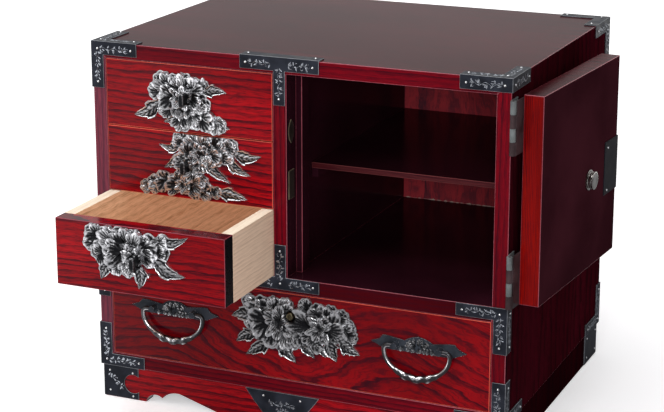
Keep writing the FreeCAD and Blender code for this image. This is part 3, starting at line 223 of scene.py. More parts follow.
class ChestLacquer(bpy.types.PropertyGroup):
    """Colours and figure of the lacquered wood."""

    red: a_colour("Red", "Lacquer on the drawer fronts, between the grain lines", 0.32, 0.0028, 0.0065)
    grain: a_colour("Grain", "Dark grain lines under the red lacquer", 0.030, 0.002, 0.006)
    frame: a_colour("Frame", "Front edges of the carcass boards", 0.150, 0.002, 0.007)
    maroon: a_colour("Maroon", "Outer faces of the sides and the back", 0.048, 0.003, 0.007)
    top: a_colour("Top", "Top of the case and the door's upper and lower edges", 0.060, 0.008, 0.011)
    inside: a_colour("Inside", "Inside of the cabinet and hidden boards", 0.022, 0.004, 0.008)
    door_inside: a_colour("Door inside", "Inner face of the door", 0.036, 0.008, 0.012)
    door_edge: a_colour("Door edge", "Bright edge of the door at its hinges", 0.25, 0.004, 0.0012)
    # The two edge colours below are rubbed lacquer, painted lighter as a highlight along the softened
    # edges.
    worn: a_colour("Worn edge", "Rubbed edges of the frame and of the open drawer", 0.26, 0.05, 0.07)
    rubbed: a_colour("Rubbed edge", "Rubbed edges of the closed drawers' fronts", 0.55, 0.08, 0.05)
    board_edge: a_length("Board edge", "Width of the softened edges of the boards", 0.0006)
    ring_spacing: a_length("Ring spacing", "Distance between grain lines on the small drawers and the door",
                         0.0075, 0.0001)
    wide_ring_spacing: a_length("Wide ring spacing", "Distance between grain lines on the wide drawer",
                              0.014, 0.0001)
    wide_bend: a_number("Wide bend", "How many rings the wide drawer's figure wanders", 8.0, min=0)


class ChestIron(bpy.types.PropertyGroup):
    """Colours and sizes of the metal fittings."""

    # The castings' tone mixes the two colours below: blackening and rubbing, together with painted
    # highlights on rims and painted shade in gaps.
    bright: a_colour("Bright", "Rubbed high places of the castings and bails", 0.76, 0.76, 0.79)
    black: a_colour("Black", "Blackened low places of the castings", 0.012, 0.012, 0.014)
    sheet: a_colour("Sheet", "Sheet iron of the brackets", 0.016, 0.018, 0.025)
    # Rim is a painted highlight: a lighter colour on the sheet iron's softened edges.
    rim: a_colour("Rim", "Rubbed rims of the sheet iron", 0.26, 0.27, 0.29)
    scroll: a_colour("Scroll", "Engraved lines of the sheet iron", 0.34, 0.36, 0.40)
    steel: a_colour("Steel", "Frame leaves of the hinges", 0.110, 0.118, 0.120)
    # Shaded is a darker copy of the bright metal, painted shade for the wide drawer's casting and the
    # handles.
    shaded: a_colour("Shaded", "Rubbed high places of the wide drawer's darker casting", 0.57, 0.57, 0.59)
    brass: a_colour("Brass", "Keyhole ring", 0.12, 0.10, 0.06)
    relief: a_length("Relief", "Height of the castings above their fronts", 0.0068)
    sheet_edge: a_length("Sheet edge", "Width of the softened edges of sheet iron", 0.00025)
    scroll_width: a_length("Scroll width", "Width of the engraved scroll lines", 0.00046)
    seed: IntProperty(name="Seed", description="Start of the petals' random turns", min=0, default=7)


class ChestStage(bpy.types.PropertyGroup):
    """Camera, lamps and floor."""

    camera_place: FloatVectorProperty(
        name="Camera place", description="Where the camera stands from the case's front left foot",
        subtype="TRANSLATION", default=(0.9878, -1.6497, 0.7770))
    camera_turn: an_angle("Camera turn", "Turn of the camera to the left", 23.51)
    camera_dip: an_angle("Camera dip", "How far the camera looks down", 14.62)
    lens: a_number("Lens", "Focal length on a 36 mm wide film, in millimetres", 101.93, min=1)
    camera_shift: a_number("Camera shift", "Upright shift of the picture, in picture widths", -0.0904)
    key_power: a_number("Key power", "Power of the large lamp at the front left, in watts", 15.0, min=0)
    right_power: a_number("Right power", "Power of the lamp at the front right, in watts", 18.0, min=0)
    top_power: a_number("Top power", "Power of the lamp overhead, in watts", 30.0, min=0)
    fill: a_number("Fill", "Strength of the pale room round the chest", 0.32, min=0)
    left_glow: a_number("Left glow", "Strength of the floor at the front left in reflections", 1.4, min=0)
    front_dim: a_number("Front room", "Strength of the room behind the camera in reflections", 0.18,
                      min=0, max=1)


# Meshes


class Surfaces:
    """Grids of points gathered into one mesh, with a tone from black to bright on each point."""

    def __init__(self):
        self.points, self.quads, self.tones = [], [], []
        self.count = 0

    def add(self, points, tone=0.5, around=False):
        """Adds a grid of rows by columns of points; around joins the last column to the first."""
        rows, columns = points.shape[:2]
        last = columns if around else columns - 1
        row, column = np.meshgrid(np.arange(rows - 1), np.arange(last), indexing="ij")
        following = (column + 1) % columns
        corners = (row * columns + column, row * columns + following,
                   (row + 1) * columns + following, (row + 1) * columns + column)
        self.quads.append(np.stack(corners, -1).reshape(-1, 4) + self.count)
        self.points.append(points.reshape(-1, 3))
        self.tones.append(np.broadcast_to(tone, (rows, columns)).reshape(-1))
        self.count += rows * columns


def finish_mesh(mesh, smooth_angle):
    """Merges doubled points, turns faces outwards and smooths all but the sharp edges."""
    work = bmesh.new()
    work.from_mesh(mesh)
    bmesh.ops.remove_doubles(work, verts=work.verts, dist=MERGE)
    bmesh.ops.dissolve_degenerate(work, edges=work.edges, dist=MERGE)
    bmesh.ops.recalc_face_normals(work, faces=work.faces)
    work.to_mesh(mesh)
    work.free()
    mesh.shade_smooth()
    mesh.set_sharp_from_angle(angle=smooth_angle)


def settle(piece, body, nodes=()):
    """Links a piece, sets it on its body and lets it stand for its CAD nodes."""
    bpy.context.scene.collection.objects.link(piece)
    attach(piece, body)
    if nodes:
        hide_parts(*nodes)
    return piece


def piece_from(surfaces, name, material, body, nodes=(), smooth_angle=math.radians(50)):
    """A finished piece out of gathered surfaces, with their tones as its attribute."""
    mesh = bpy.data.meshes.new(name)
    mesh.from_pydata(np.concatenate(surfaces.points).tolist(), [],
                     np.concatenate(surfaces.quads).tolist())
    tone = mesh.attributes.new("tone", "FLOAT", "POINT")
    tone.data.foreach_set("value", np.concatenate(surfaces.tones).astype(np.float32))
    mesh.materials.append(material)
    finish_mesh(mesh, smooth_angle)
    return settle(bpy.data.objects.new(name, mesh), body, nodes)


def facing(direction):
    """A test for faces that look along a direction."""
    return lambda face, low, high: np.dot(face.normal, direction) > FACING_COSINE


def softened_copy(label, material, edge, others=(), edge_material=None,
                  smooth_angle=math.radians(35)):
    """A CAD node's shape with softened edges.

    others pairs a test of a face and its node's box with the material of the faces that pass it;
    the softened edges can have a material of their own.
    """
    source = frame["nodes"][label]
    low, high = (np.array(corner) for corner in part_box(label))
    mesh = source.data.copy()
    mesh.name = label + "_finished"
    mesh.materials.clear()
    work = bmesh.new()
    work.from_mesh(mesh)
    bmesh.ops.remove_doubles(work, verts=work.verts, dist=MERGE)
    bmesh.ops.dissolve_limit(work, angle_limit=FLAT_ANGLE, verts=work.verts,
                             edges=work.edges, use_dissolve_boundaries=False)
    bmesh.ops.recalc_face_normals(work, faces=work.faces)
    for face in work.faces:
        face.smooth = True
        face.material_index = 0
        for number, (passes, _) in enumerate(others, start=1):
            if passes(face, low, high):
                face.material_index = number
    work.to_mesh(mesh)
    work.free()
    for chosen in [material] + [other for _, other in others] + [edge_material] * bool(edge_material):
        mesh.materials.append(chosen)
    mesh.set_sharp_from_angle(angle=smooth_angle)
    piece = bpy.data.objects.new(label + "_finished", mesh)
    if edge > 0:
        bevel = piece.modifiers.new("edge", "BEVEL")
        bevel.width = edge
        bevel.segments = 2
        bevel.limit_method = "ANGLE"
        bevel.angle_limit = smooth_angle
        bevel.harden_normals = True
        bevel.material = len(others) + 1 if edge_material else -1
    return settle(piece, source["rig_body"], [label])


def lathe(surfaces, base, axis, profile, tone=0.6, segments=32):
    """Adds a turned shape: profile rows are (distance along the axis, radius) from base.

    Each point is base + axis * distance + radius * (cos t * side + sin t * other side).
    """
    nearly_upright = 0.9
    axis = np.asarray(axis) / np.linalg.norm(axis)
    side = np.cross(axis, UP if abs(axis[2]) < nearly_upright else RIGHT)
    side /= np.linalg.norm(side)
    other = np.cross(axis, side)
    turn = np.linspace(0, math.tau, segments, endpoint=False)
    ring = np.cos(turn)[:, None] * side + np.sin(turn)[:, None] * other
    along, radius = np.array(profile, float).T
    points = base + along[:, None, None] * axis + radius[:, None, None] * ring[None]
    surfaces.add(points, tone, around=True)


# Shader nodes


def feed(tree, made, inputs):
    """Sets a node's inputs to values or links them to sockets."""
    for key, value in inputs.items():
        socket = made.inputs[key]
        if isinstance(value, bpy.types.NodeSocket):
            tree.links.new(value, socket)
        else:
            socket.default_value = value


def node(tree, kind, inputs=None, **settings):
    """A shader node with its settings and inputs."""
    made = tree.nodes.new(kind)
    for name, value in settings.items():
        setattr(made, name, value)
    feed(tree, made, inputs or {})
    return made


def maths(tree, operation, *values):
    """The result of a Math node."""
    return node(tree, "ShaderNodeMath", dict(enumerate(values)), operation=operation).outputs[0]


def add(tree, first, second):
    """The sum of two values."""
    return maths(tree, "ADD", first, second)


def subtract(tree, first, second):
    """The first value less the second."""
    return maths(tree, "SUBTRACT", first, second)


def multiply(tree, first, second):
    """The product of two values."""
    return maths(tree, "MULTIPLY", first, second)


def scaled(tree, vector, scale):
    """A vector multiplied by another one, part by part."""
    return node(tree, "ShaderNodeVectorMath", {0: vector, 1: scale}, operation="MULTIPLY").outputs[0]


def ramp(tree, value, low, high, to_low=0.0, to_high=1.0):
    """A value eased from one range to another."""
    inputs = {"Value": value, "From Min": low, "From Max": high, "To Min": to_low, "To Max": to_high}
    return node(tree, "ShaderNodeMapRange", inputs, interpolation_type="SMOOTHSTEP").outputs[0]


def mixed(tree, share, first, second, blend="MIX"):
    """Two colours mixed by a share."""
    inputs = {0: share, 6: first, 7: second}
    return node(tree, "ShaderNodeMix", inputs, data_type="RGBA", blend_type=blend).outputs[2]


def noise(tree, place, scale, detail, roughness=0.5):
    """The values of a Noise Texture."""
    inputs = {"Vector": place, "Scale": scale, "Detail": detail, "Roughness": roughness}
    return node(tree, "ShaderNodeTexNoise", inputs).outputs["Fac"]


def toned(tree, values, shade):
    """A colour multiplied by a shade."""
    grey = node(tree, "ShaderNodeCombineColor", {0: shade, 1: shade, 2: shade}).outputs[0]
    return mixed(tree, 1.0, colour(values), grey, "MULTIPLY")


def bump(tree, height, strength, distance):
    """A normal bent by a height."""
    inputs = {"Height": height, "Strength": strength, "Distance": distance}
    return node(tree, "ShaderNodeBump", inputs).outputs[0]


def colour(values):
    """A colour property as a socket value."""
    return (*values, 1.0)


def dimmed(values, share):
    """A colour darkened to a share of itself."""
    return [part * share for part in values]


def new_group(name, inputs, outputs):
    """An empty shader node group: each input's default tells its kind, and outputs are values."""
    group = bpy.data.node_groups.new(name, "ShaderNodeTree")
    for title, default in inputs.items():
        kind = "NodeSocketFloat" if isinstance(default, float) else "NodeSocketVector"
        socket = group.interface.new_socket(name=title, in_out="INPUT", socket_type=kind)
        socket.default_value = default
    for title in outputs:
        group.interface.new_socket(name=title, in_out="OUTPUT", socket_type="NodeSocketFloat")
    return group, group.nodes.new("NodeGroupInput").outputs, group.nodes.new("NodeGroupOutput")


def group_outputs(tree, name, build, inputs):
    """The outputs of a node that uses a group, which is built when it is first asked for."""
    group = bpy.data.node_groups.get(name) or build(name)
    return node(tree, "ShaderNodeGroup", inputs, node_tree=group).outputs


def grain_group(name):
    """Grain lines of ring-porous wood: dark rings with one sharp side, broken into streaks.

    The grain runs along X and its rings follow each other along Z. Slow noise bends them, and
    noise drawn out along X breaks them up and adds fine streaks between them.
    """
    wobble_scale, wobble_rings = (30, 60, 130), 0.8
    streak_scale, streaks_per_ring = 55.0, 6.5
    sharp_side, past_side = 0.90, 0.93
    tree, given, result = new_group(name, {
        "Vector": (0, 0, 0), "Spacing": 0.004, "Bend": 1.0, "Bend Scale": (5, 5, 20), "Start": 0.5,
    }, ("Band", "Streaks", "Cloud"))
    slow = noise(tree, scaled(tree, given["Vector"], given["Bend Scale"]), 1.0, detail=1.5, roughness=0.4)
    bend = multiply(tree, subtract(tree, slow, 0.5), given["Bend"])
    place = node(tree, "ShaderNodeSeparateXYZ", {0: given["Vector"]}).outputs
    rings = add(tree, maths(tree, "DIVIDE", place["Z"], given["Spacing"]), bend)
    wobble = noise(tree, scaled(tree, given["Vector"], wobble_scale), 1.0, detail=3.0)
    rings = add(tree, rings, multiply(tree, wobble, wobble_rings))
    streak_place = node(tree, "ShaderNodeCombineXYZ", {
        "X": multiply(tree, place["X"], streak_scale), "Y": multiply(tree, place["Y"], streak_scale),
        "Z": multiply(tree, rings, streaks_per_ring)}).outputs[0]
    streaks = noise(tree, streak_place, 1.0, detail=4.0, roughness=0.65)
    share = maths(tree, "FRACT", rings)
    strength = node(tree, "ShaderNodeTexWhiteNoise", {"W": maths(tree, "FLOOR", rings)},
                    noise_dimensions="1D").outputs["Value"]
    band = multiply(tree, ramp(tree, share, given["Start"], sharp_side),
                    ramp(tree, share, 1.0, past_side))
    band = multiply(tree, band, ramp(tree, strength, *RING_STRENGTH))
    feed(tree, result, {
        "Band": multiply(tree, band, ramp(tree, streaks, *RING_BREAKS)),
        "Streaks": ramp(tree, streaks, *FINE_STREAKS), "Cloud": slow})
    return tree


def antique_and_highlight_group(name):
    """Blackened metal rubbed bright: a tone gives the colour mask and the roughness mask."""
    patch_scale, dull, polish = 600.0, 0.50, 0.28
    tree, given, result = new_group(name, {"Tone": 0.5, "Mottle": 0.7, "Vector": (0, 0, 0)},
                                    ("Bright", "Roughness", "Height"))
    patches = noise(tree, given["Vector"], patch_scale, detail=3.0, roughness=0.6)
    spread = multiply(tree, subtract(tree, patches, 0.5), given["Mottle"])
    bright = ramp(tree, add(tree, given["Tone"], spread), *RUBBED_AND_HIGHLIT_TONES)
    feed(tree, result, {
        "Bright": bright, "Height": patches,
        "Roughness": subtract(tree, dull, multiply(tree, bright, polish))})
    return tree


def new_material(name):
    """A material's tree and shader, and its object's coordinates."""
    material = bpy.data.materials.new(name)
    material.use_nodes = True
    tree = material.node_tree
    shader = tree.nodes["Principled BSDF"]
    place = node(tree, "ShaderNodeTexCoord").outputs["Object"]
    return material, tree, shader, place


def once(make):
    """Makes a finish the first time it is asked for and finds it again afterwards."""
    def found(name, *values, **options):
        name += "_finish"
        if name in bpy.data.materials:
            return bpy.data.materials[name]
        return make(name, *values, **options)
    found.__doc__ = make.__doc__
    return found


# Turns that lay the grain along the boards, and the shift of an unmoved figure.
GRAIN_ALONG_X = (0.0, 0.0, 0.0)
GRAIN_ALONG_Z = (0.0, math.radians(90), 0.0)
GRAIN_ALONG_Y = (0.0, 0.0, math.radians(90))
SIDE_ALONG_Z = (math.radians(90), 0.0, math.radians(90))
FLOOR_ALONG_Y = (0.0, math.radians(-90), math.radians(-90))
TOP_ALONG_X = (math.radians(90), 0.0, 0.0)
UNMOVED = (0.0, 0.0, 0.0)


# Ramps of the noises: from, to, value at the first, value at the second.
RING_STRENGTH = (0.0, 0.6, 0.45, 1.0)
RING_BREAKS = (0.32, 0.56, 0.55, 1.0)
FINE_STREAKS = (0.43, 0.64)
WOOD_CLOUDS = (0.30, 0.72, 0.70, 1.12)
LACQUER_CLOUDS = (0.3, 0.7, 0.7, 1.3)
SHEET_CLOUDS = (0.3, 0.7, 0.65, 1.4)
RUBBED_AND_HIGHLIT_TONES = (0.22, 0.85)
NOISE_RANGE = (0.3, 0.7)


def grain_of(tree, place, turn, shift, spacing, bend, bend_scale, start):
    """A grain figure's rings, streaks and clouds, turned and shifted."""
    turned = node(tree, "ShaderNodeMapping", {"Vector": place, "Rotation": turn, "Location": shift})
    outputs = group_outputs(tree, "wood_grain", grain_group, {
        "Vector": turned.outputs[0], "Spacing": spacing, "Bend": bend, "Bend Scale": bend_scale,
        "Start": start})
    return [outputs[key] for key in ("Band", "Streaks", "Cloud")]


@once
def lacquered_wood(name, light, dark, spacing, bend, bend_scale, turn=GRAIN_ALONG_X, start=0.30,
                   depth=1.0, gloss=0.16, specular=0.10, shift=UNMOVED):
    """Glossy lacquer over open grain; depth is how strongly the grain shows."""
    material, tree, shader, place = new_material(name)
    band, streaks, cloud = grain_of(tree, place, turn, shift, spacing, bend, bend_scale, start)
    band_cover, streak_cover = 0.95 * depth, 0.62 * depth
    clear = multiply(tree, subtract(tree, 1.0, multiply(tree, band, band_cover)),
                     subtract(tree, 1.0, multiply(tree, streaks, streak_cover)))
    cover = subtract(tree, 1.0, clear)
    base = toned(tree, light, ramp(tree, cloud, *WOOD_CLOUDS))
    feed(tree, shader, {
        "Base Color": mixed(tree, cover, base, colour(dark)), "Roughness": gloss,
        "Specular IOR Level": specular, "Normal": bump(tree, cover, strength=0.10, distance=0.0002)})
    return material


@once
def plain_lacquer(name, paint, gloss=0.3, specular=0.10):
    """Dark lacquer with slow cloudiness and faint brush marks."""
    material, tree, shader, place = new_material(name)
    clouds = noise(tree, place, scale=9.0, detail=4.0)
    marks = noise(tree, place, scale=240.0, detail=2.0)
    feed(tree, shader, {
        "Base Color": toned(tree, paint, ramp(tree, clouds, *LACQUER_CLOUDS)),
        "Roughness": ramp(tree, marks, *NOISE_RANGE, gloss * 0.85, gloss * 1.15),
        "Specular IOR Level": specular, "Normal": bump(tree, clouds, strength=0.05, distance=0.0004)})
    return material


@once
def bare_wood(name, light, dark, turn=GRAIN_ALONG_X, spacing=0.009, bend=2.5, lift=0.0):
    """Bare pale wood with soft streaks; lift keeps the inside of a tray from going dark."""
    material, tree, shader, place = new_material(name)
    band, streaks, _ = grain_of(tree, place, turn, UNMOVED, spacing, bend,
                                bend_scale=(4, 14, 14), start=0.15)
    soft = add(tree, multiply(tree, band, 0.5), multiply(tree, streaks, 0.4))
    wood = mixed(tree, soft, colour(light), colour(dark))
    feed(tree, shader, {
        "Base Color": wood, "Emission Color": wood, "Emission Strength": lift, "Roughness": 0.55,
        "Specular IOR Level": 0.3, "Normal": bump(tree, soft, strength=0.1, distance=0.0002)})
    return material


@once
def cast_iron(name, bright, black, mottle=0.7, polish=0.0):
    """Castings blackened in the hollows and rubbed bright on the petals' rims."""
    material, tree, shader, place = new_material(name)
    tone = node(tree, "ShaderNodeAttribute", attribute_name="tone").outputs["Fac"]
    rubbed = group_outputs(tree, "rubbed_metal", antique_and_highlight_group,
                           {"Tone": tone, "Vector": place, "Mottle": mottle})
    feed(tree, shader, {
        "Base Color": mixed(tree, rubbed["Bright"], colour(black), colour(bright)),
        "Roughness": subtract(tree, rubbed["Roughness"], polish), "Metallic": 0.9,
        "Normal": bump(tree, rubbed["Height"], strength=0.6, distance=0.0003)})
    return material


@once
def sheet_metal(name, metal, roughness=0.38, metallic=0.0):
    """Dark sheet metal with a fine cast of scale and slow clouds."""
    material, tree, shader, place = new_material(name)
    scale = noise(tree, place, scale=900.0, detail=2.0)
    slow = noise(tree, place, scale=60.0, detail=3.0)
    feed(tree, shader, {
        "Base Color": toned(tree, metal, ramp(tree, slow, *SHEET_CLOUDS)),
        "Roughness": ramp(tree, slow, *NOISE_RANGE, roughness * 0.8, roughness * 1.2),
        "Metallic": metallic, "Specular IOR Level": 0.06,
        "Normal": bump(tree, scale, strength=0.15, distance=0.0001)})
    return material


# Operators


class Dress(bpy.types.Operator):
    """Common ground of the chest's operators."""

    bl_options = {"REGISTER", "UNDO"}

    @property
    def lacquer(self):
        return bpy.context.scene.chest_lacquer

    @property
    def iron(self):
        return bpy.context.scene.chest_iron


# Figures of the wood, in rings and metres, and the colours that aren't settings.
FRAME_FIGURE = {"spacing": 0.0055, "bend": 2.0, "bend_scale": (4, 20, 20), "depth": 0.85}
SIDE_FIGURE = {"spacing": 0.017, "bend": 3.6, "bend_scale": (4, 12, 12), "depth": 0.6}
TOP_FIGURE = {"spacing": 0.016, "bend": 3.5, "bend_scale": (3, 3, 9), "depth": 0.6}
BACK_FIGURE = {"spacing": 0.030, "bend": 5.0, "bend_scale": (5, 20, 18)}
SHELF_FIGURE = {"spacing": 0.004, "bend": 2.0, "bend_scale": (6, 20, 20), "depth": 0.9}
APRON_FIGURE = {"spacing": 0.0080, "bend": 3.0, "bend_scale": (3.5, 20, 16), "depth": 0.9}
DOOR_EDGE_FIGURE = {"spacing": 0.0017, "bend": 5.0, "bend_scale": (8, 90, 90), "depth": 0.90}
FRONT_BEND_SCALE = (4.5, 20, 18)
SIDE_GRAIN = (0.006, 0.002, 0.003)
TOP_GRAIN = (0.012, 0.004, 0.005)
# Painted reflection: a hazy, pinker red for the left stile's front, standing for a pale veil.
LEFT_STILE_SHEEN_RED, LEFT_STILE_SHEEN_GRAIN = (0.22, 0.033, 0.058), (0.05, 0.012, 0.025)
# Painted light: a far lighter red for the back's inner face than the rest of the inside, standing for the
# light and reflections on it.
BACK_SHEEN_RED, BACK_SHEEN_GRAIN = (0.46, 0.042, 0.055), (0.09, 0.025, 0.040)
# The shelf's edge red, and a lighter colour for its softened edges, a painted highlight.
SHELF_RED, SHELF_RIM_HIGHLIGHT = (0.075, 0.012, 0.014), (0.13, 0.03, 0.03)
PALE_LINE = (0.50, 0.36, 0.32)
EDGE_BLACK = (0.008, 0.008, 0.009)
TRAY_WOOD, TRAY_GRAIN = (0.84, 0.62, 0.46), (0.59, 0.39, 0.27)
TRAY_INSIDE, TRAY_INSIDE_GRAIN = (0.71, 0.45, 0.28), (0.38, 0.20, 0.10)
TRAY_EDGE, TRAY_EDGE_GRAIN = (0.92, 0.80, 0.64), (0.78, 0.62, 0.46)
# Shares of darkened copies, in turn: the middle board's front edge and the base's sides, both painted
# shade, and the wide drawer's front.
SHADED_FRAME_SHARE, BASE_SIDE_SHADE_SHARE, WIDE_FRONT_SHARE = 0.36, 0.4, 0.64


def frame_front(lacquer, turn=GRAIN_ALONG_X):
    """Crimson lacquer of the carcass boards' front edges."""
    name = "level_frame_lacquer" if turn == GRAIN_ALONG_X else "upright_frame_lacquer"
    return lacquered_wood(name, lacquer.frame, lacquer.grain, turn=turn, specular=0.05,
                          **FRAME_FIGURE)


def side_lacquer(lacquer, name="side_lacquer", turn=SIDE_ALONG_Z, share=1.0):
    """Dark upright grain of the case's outer sides."""
    return lacquered_wood(name, dimmed(lacquer.maroon, share), SIDE_GRAIN, turn=turn, gloss=0.35,
                          specular=0.0, **SIDE_FIGURE)


def rear_lacquer(lacquer):
    """The sides' lacquer, turned for the back."""
    return side_lacquer(lacquer, "rear_lacquer", GRAIN_ALONG_Z)


def top_lacquer(lacquer):
    """Dark level grain of the case's top."""
    return lacquered_wood("top_lacquer", lacquer.top, TOP_GRAIN, turn=TOP_ALONG_X, gloss=0.20,
                          specular=0.012, **TOP_FIGURE)


def inner_lacquer(lacquer):
    """Nearly black lacquer inside the case."""
    return plain_lacquer("inner_lacquer", lacquer.inside, gloss=0.16, specular=0.05)


def worn_and_highlit_edge(lacquer):
    """Lacquer rubbed light along the frame's edges."""
    return plain_lacquer("worn_frame_edge", lacquer.worn, gloss=0.25, specular=0.5)


def front_lacquer(lacquer, name, **options):
    """Red lacquer of the fronts over straight grain."""
    return lacquered_wood(name, lacquer.red, lacquer.grain, lacquer.ring_spacing,
                          bend_scale=FRONT_BEND_SCALE, **options)


def lacquered_board(label, lacquer, faces=(), base=None):
    """A softened board with worn edges."""
    softened_copy(label, base or inner_lacquer(lacquer), lacquer.board_edge, faces,
                  worn_and_highlit_edge(lacquer))


class CHEST_OT_carcass(Dress):
    """Finish the case: outer boards, middle board, partition, back, runners and shelf"""

    bl_idname = "chest.carcass"
    bl_label = "Carcass"

    def execute(self, context):
        lacquer = self.lacquer
        level, upright = frame_front(lacquer), frame_front(lacquer, GRAIN_ALONG_Z)
        side, top = side_lacquer(lacquer), top_lacquer(lacquer)
        # Painted reflection: the left stile's front is a hazy, pinker red.
        sheen_hazed_stile = lacquered_wood("left_stile_lacquer", LEFT_STILE_SHEEN_RED, LEFT_STILE_SHEEN_GRAIN, turn=GRAIN_ALONG_Z,
                              **FRAME_FIGURE)
        # Painted shade: a darker copy of the frame lacquer for the middle board's front edge.
        shaded = lacquered_wood("shaded_frame_lacquer", dimmed(lacquer.frame, SHADED_FRAME_SHARE),
                                lacquer.grain, specular=0.04, **FRAME_FIGURE)
        lacquered_board("top_panel", lacquer, (
            (facing(OUT), level), (facing(UP), top), (facing(RIGHT), side), (facing(-RIGHT), side)))
        for label, front, outer in (
                ("bottom_panel", level, ()),
                ("left_side_panel", sheen_hazed_stile, ((facing(-RIGHT), side),)),
                ("right_side_panel", upright, ((facing(RIGHT), side),)),
                ("middle_shelf", shaded, ()),
                ("centre_partition", upright, ())):
            lacquered_board(label, lacquer, ((facing(OUT), front), *outer))
        # Painted light and reflection: the back's inner face is much lighter than the rest of the inside.
        back_sheen = lacquered_wood("back_inner_lacquer", BACK_SHEEN_RED, BACK_SHEEN_GRAIN, turn=GRAIN_ALONG_Z,
                                 gloss=0.35, specular=0.05, **BACK_FIGURE)
        red = lacquered_wood("shelf_edge_lacquer", SHELF_RED, lacquer.grain, **SHELF_FIGURE)
        # Painted highlight: the shelf's softened edges are lighter.
        rim = plain_lacquer("shelf_rim", SHELF_RIM_HIGHLIGHT, gloss=0.4)
        self.inner_board("back_panel", (
            (facing(-OUT), rear_lacquer(lacquer)), (facing(OUT), back_sheen)))
        self.inner_board("cabinet_shelf", ((facing(OUT), red),), rim)
        lacquered_board("door_stop", lacquer)
        for label in ("shelf_cleats", "left_drawer_runners", "right_drawer_runners"):
            self.inner_board(label)
        self.joint_line()
        return {"FINISHED"}

    def inner_board(self, label, faces=(), rim=None):
        """A softened board in the inside's dark lacquer."""
        lacquer = self.lacquer
        softened_copy(label, inner_lacquer(lacquer), lacquer.board_edge, faces, rim)

    def joint_line(self):
        """A ragged pale line of glue where the back meets the cabinet's floor.

        Its breadth is a random share, cubed, of the widest.
        """
        points, widest, thickness, above_floor, seed = 90, 0.0026, 0.0003, 0.0004, 3
        left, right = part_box("centre_partition")[1].x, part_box("right_side_panel")[0].x
        back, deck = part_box("back_panel")[0].y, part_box("middle_shelf")[1].z
        x = np.linspace(left, right, points)
        line = np.stack([x, np.full(points, back), np.full(points, deck + above_floor)], 1)
        chance = np.random.default_rng(seed)
        surfaces = Surfaces()
        ribbon(surfaces, line, widest * chance.uniform(0.1, 1.0, points) ** 3, OUT, thickness, 0.5)
        pale = plain_lacquer("glue_line", PALE_LINE, gloss=0.6)
        piece_from(surfaces, "back_joint_line", pale, "chest")


class CHEST_OT_base(Dress):
    """Finish the separate base with its shaped apron"""

    bl_idname = "chest.base"
    bl_label = "Base"

    def execute(self, context):
        lacquer = self.lacquer
        apron = lacquered_wood("apron_lacquer", lacquer.red, lacquer.grain, shift=(0.3, 0, 0.1),
                               **APRON_FIGURE)
        # Painted shade: a darker copy of the side lacquer for the base's sides.
        side = side_lacquer(lacquer, "base_side_lacquer", share=BASE_SIDE_SHADE_SHARE)
        lacquered_board("base_front_rail", lacquer, ((facing(OUT), apron),))
        for part, base in (("left", side), ("right", side), ("back", rear_lacquer(lacquer))):
            lacquered_board("base_%s_rail" % part, lacquer, base=base)
        softened_copy("base_corner_blocks", inner_lacquer(lacquer),
                      lacquer.board_edge)
        return {"FINISHED"}


def inside_tray(face, low, high):
    """A test for the inner faces of a drawer's tray."""
    middle = np.array(face.calc_center_median())
    wall = 5 * MILLIMETRE
    within = (middle[:2] > low[:2] + wall).all() and (middle[:2] < high[:2] - wall).all()
    return within and face.normal.z > -0.5 and middle[2] < high[2] - MILLIMETRE


def inside_wall(face, low, high):
    """A test for the upright faces among them, whose grain lines lie level."""
    return inside_tray(face, low, high) and abs(face.normal.z) < 0.5


class CHEST_OT_drawers(Dress):
    """Finish the four drawers: grained fronts, black front edges and bare wood trays"""

    bl_idname = "chest.drawers"
    bl_label = "Drawers"

    def execute(self, context):
        lacquer = self.lacquer
        for number, name in enumerate(DRAWERS):
            straight = front_lacquer(lacquer, name + "_front_lacquer", bend=3.0,
                                     shift=(0.17 * number, 0.0, 0.31 * number))
            self.drawer(name + "_drawer", straight, lacquer.worn if name == "lower" else lacquer.rubbed)
        figured = lacquered_wood("wide_front_lacquer", dimmed(lacquer.red, WIDE_FRONT_SHARE),
                                 lacquer.grain, lacquer.wide_ring_spacing, lacquer.wide_bend,
                                 bend_scale=(5.5, 5.5, 9.0), start=0.52, shift=(0.4, 0.2, 0.05))
        self.drawer("wide_drawer", figured, lacquer.rubbed)
        return {"FINISHED"}

    def drawer(self, label, face, edge):
        """One drawer's front and tray."""
        width = self.lacquer.board_edge
        black = plain_lacquer("front_edge_black", EDGE_BLACK)
        # The front's softened edges: rubbed lacquer, painted lighter as a highlight.
        bright = plain_lacquer(label + "_edge", edge, gloss=0.25, specular=0.2)
        outer = bare_wood("tray_wood", TRAY_WOOD, TRAY_GRAIN, GRAIN_ALONG_Y, spacing=0.004)
        inside = (TRAY_INSIDE, TRAY_INSIDE_GRAIN)
        # Painted light: the tray's inside faces glow a little, so they don't go dark.
        floor = bare_wood("tray_inside", *inside, FLOOR_ALONG_Y, bend=0.4, lift=0.25)
        walls = bare_wood("tray_walls", *inside, GRAIN_ALONG_Y, bend=0.6, lift=0.25)
        pale = bare_wood("tray_edge", TRAY_EDGE, TRAY_EDGE_GRAIN, FLOOR_ALONG_Y)
        softened_copy(label + "_front", face, width, (
            (facing(RIGHT), black), (facing(-RIGHT), black), (facing(-OUT), walls)), bright)
        softened_copy(label + "_tray", outer, width / 2, (
            (facing(UP), pale), (inside_tray, floor), (inside_wall, walls)))


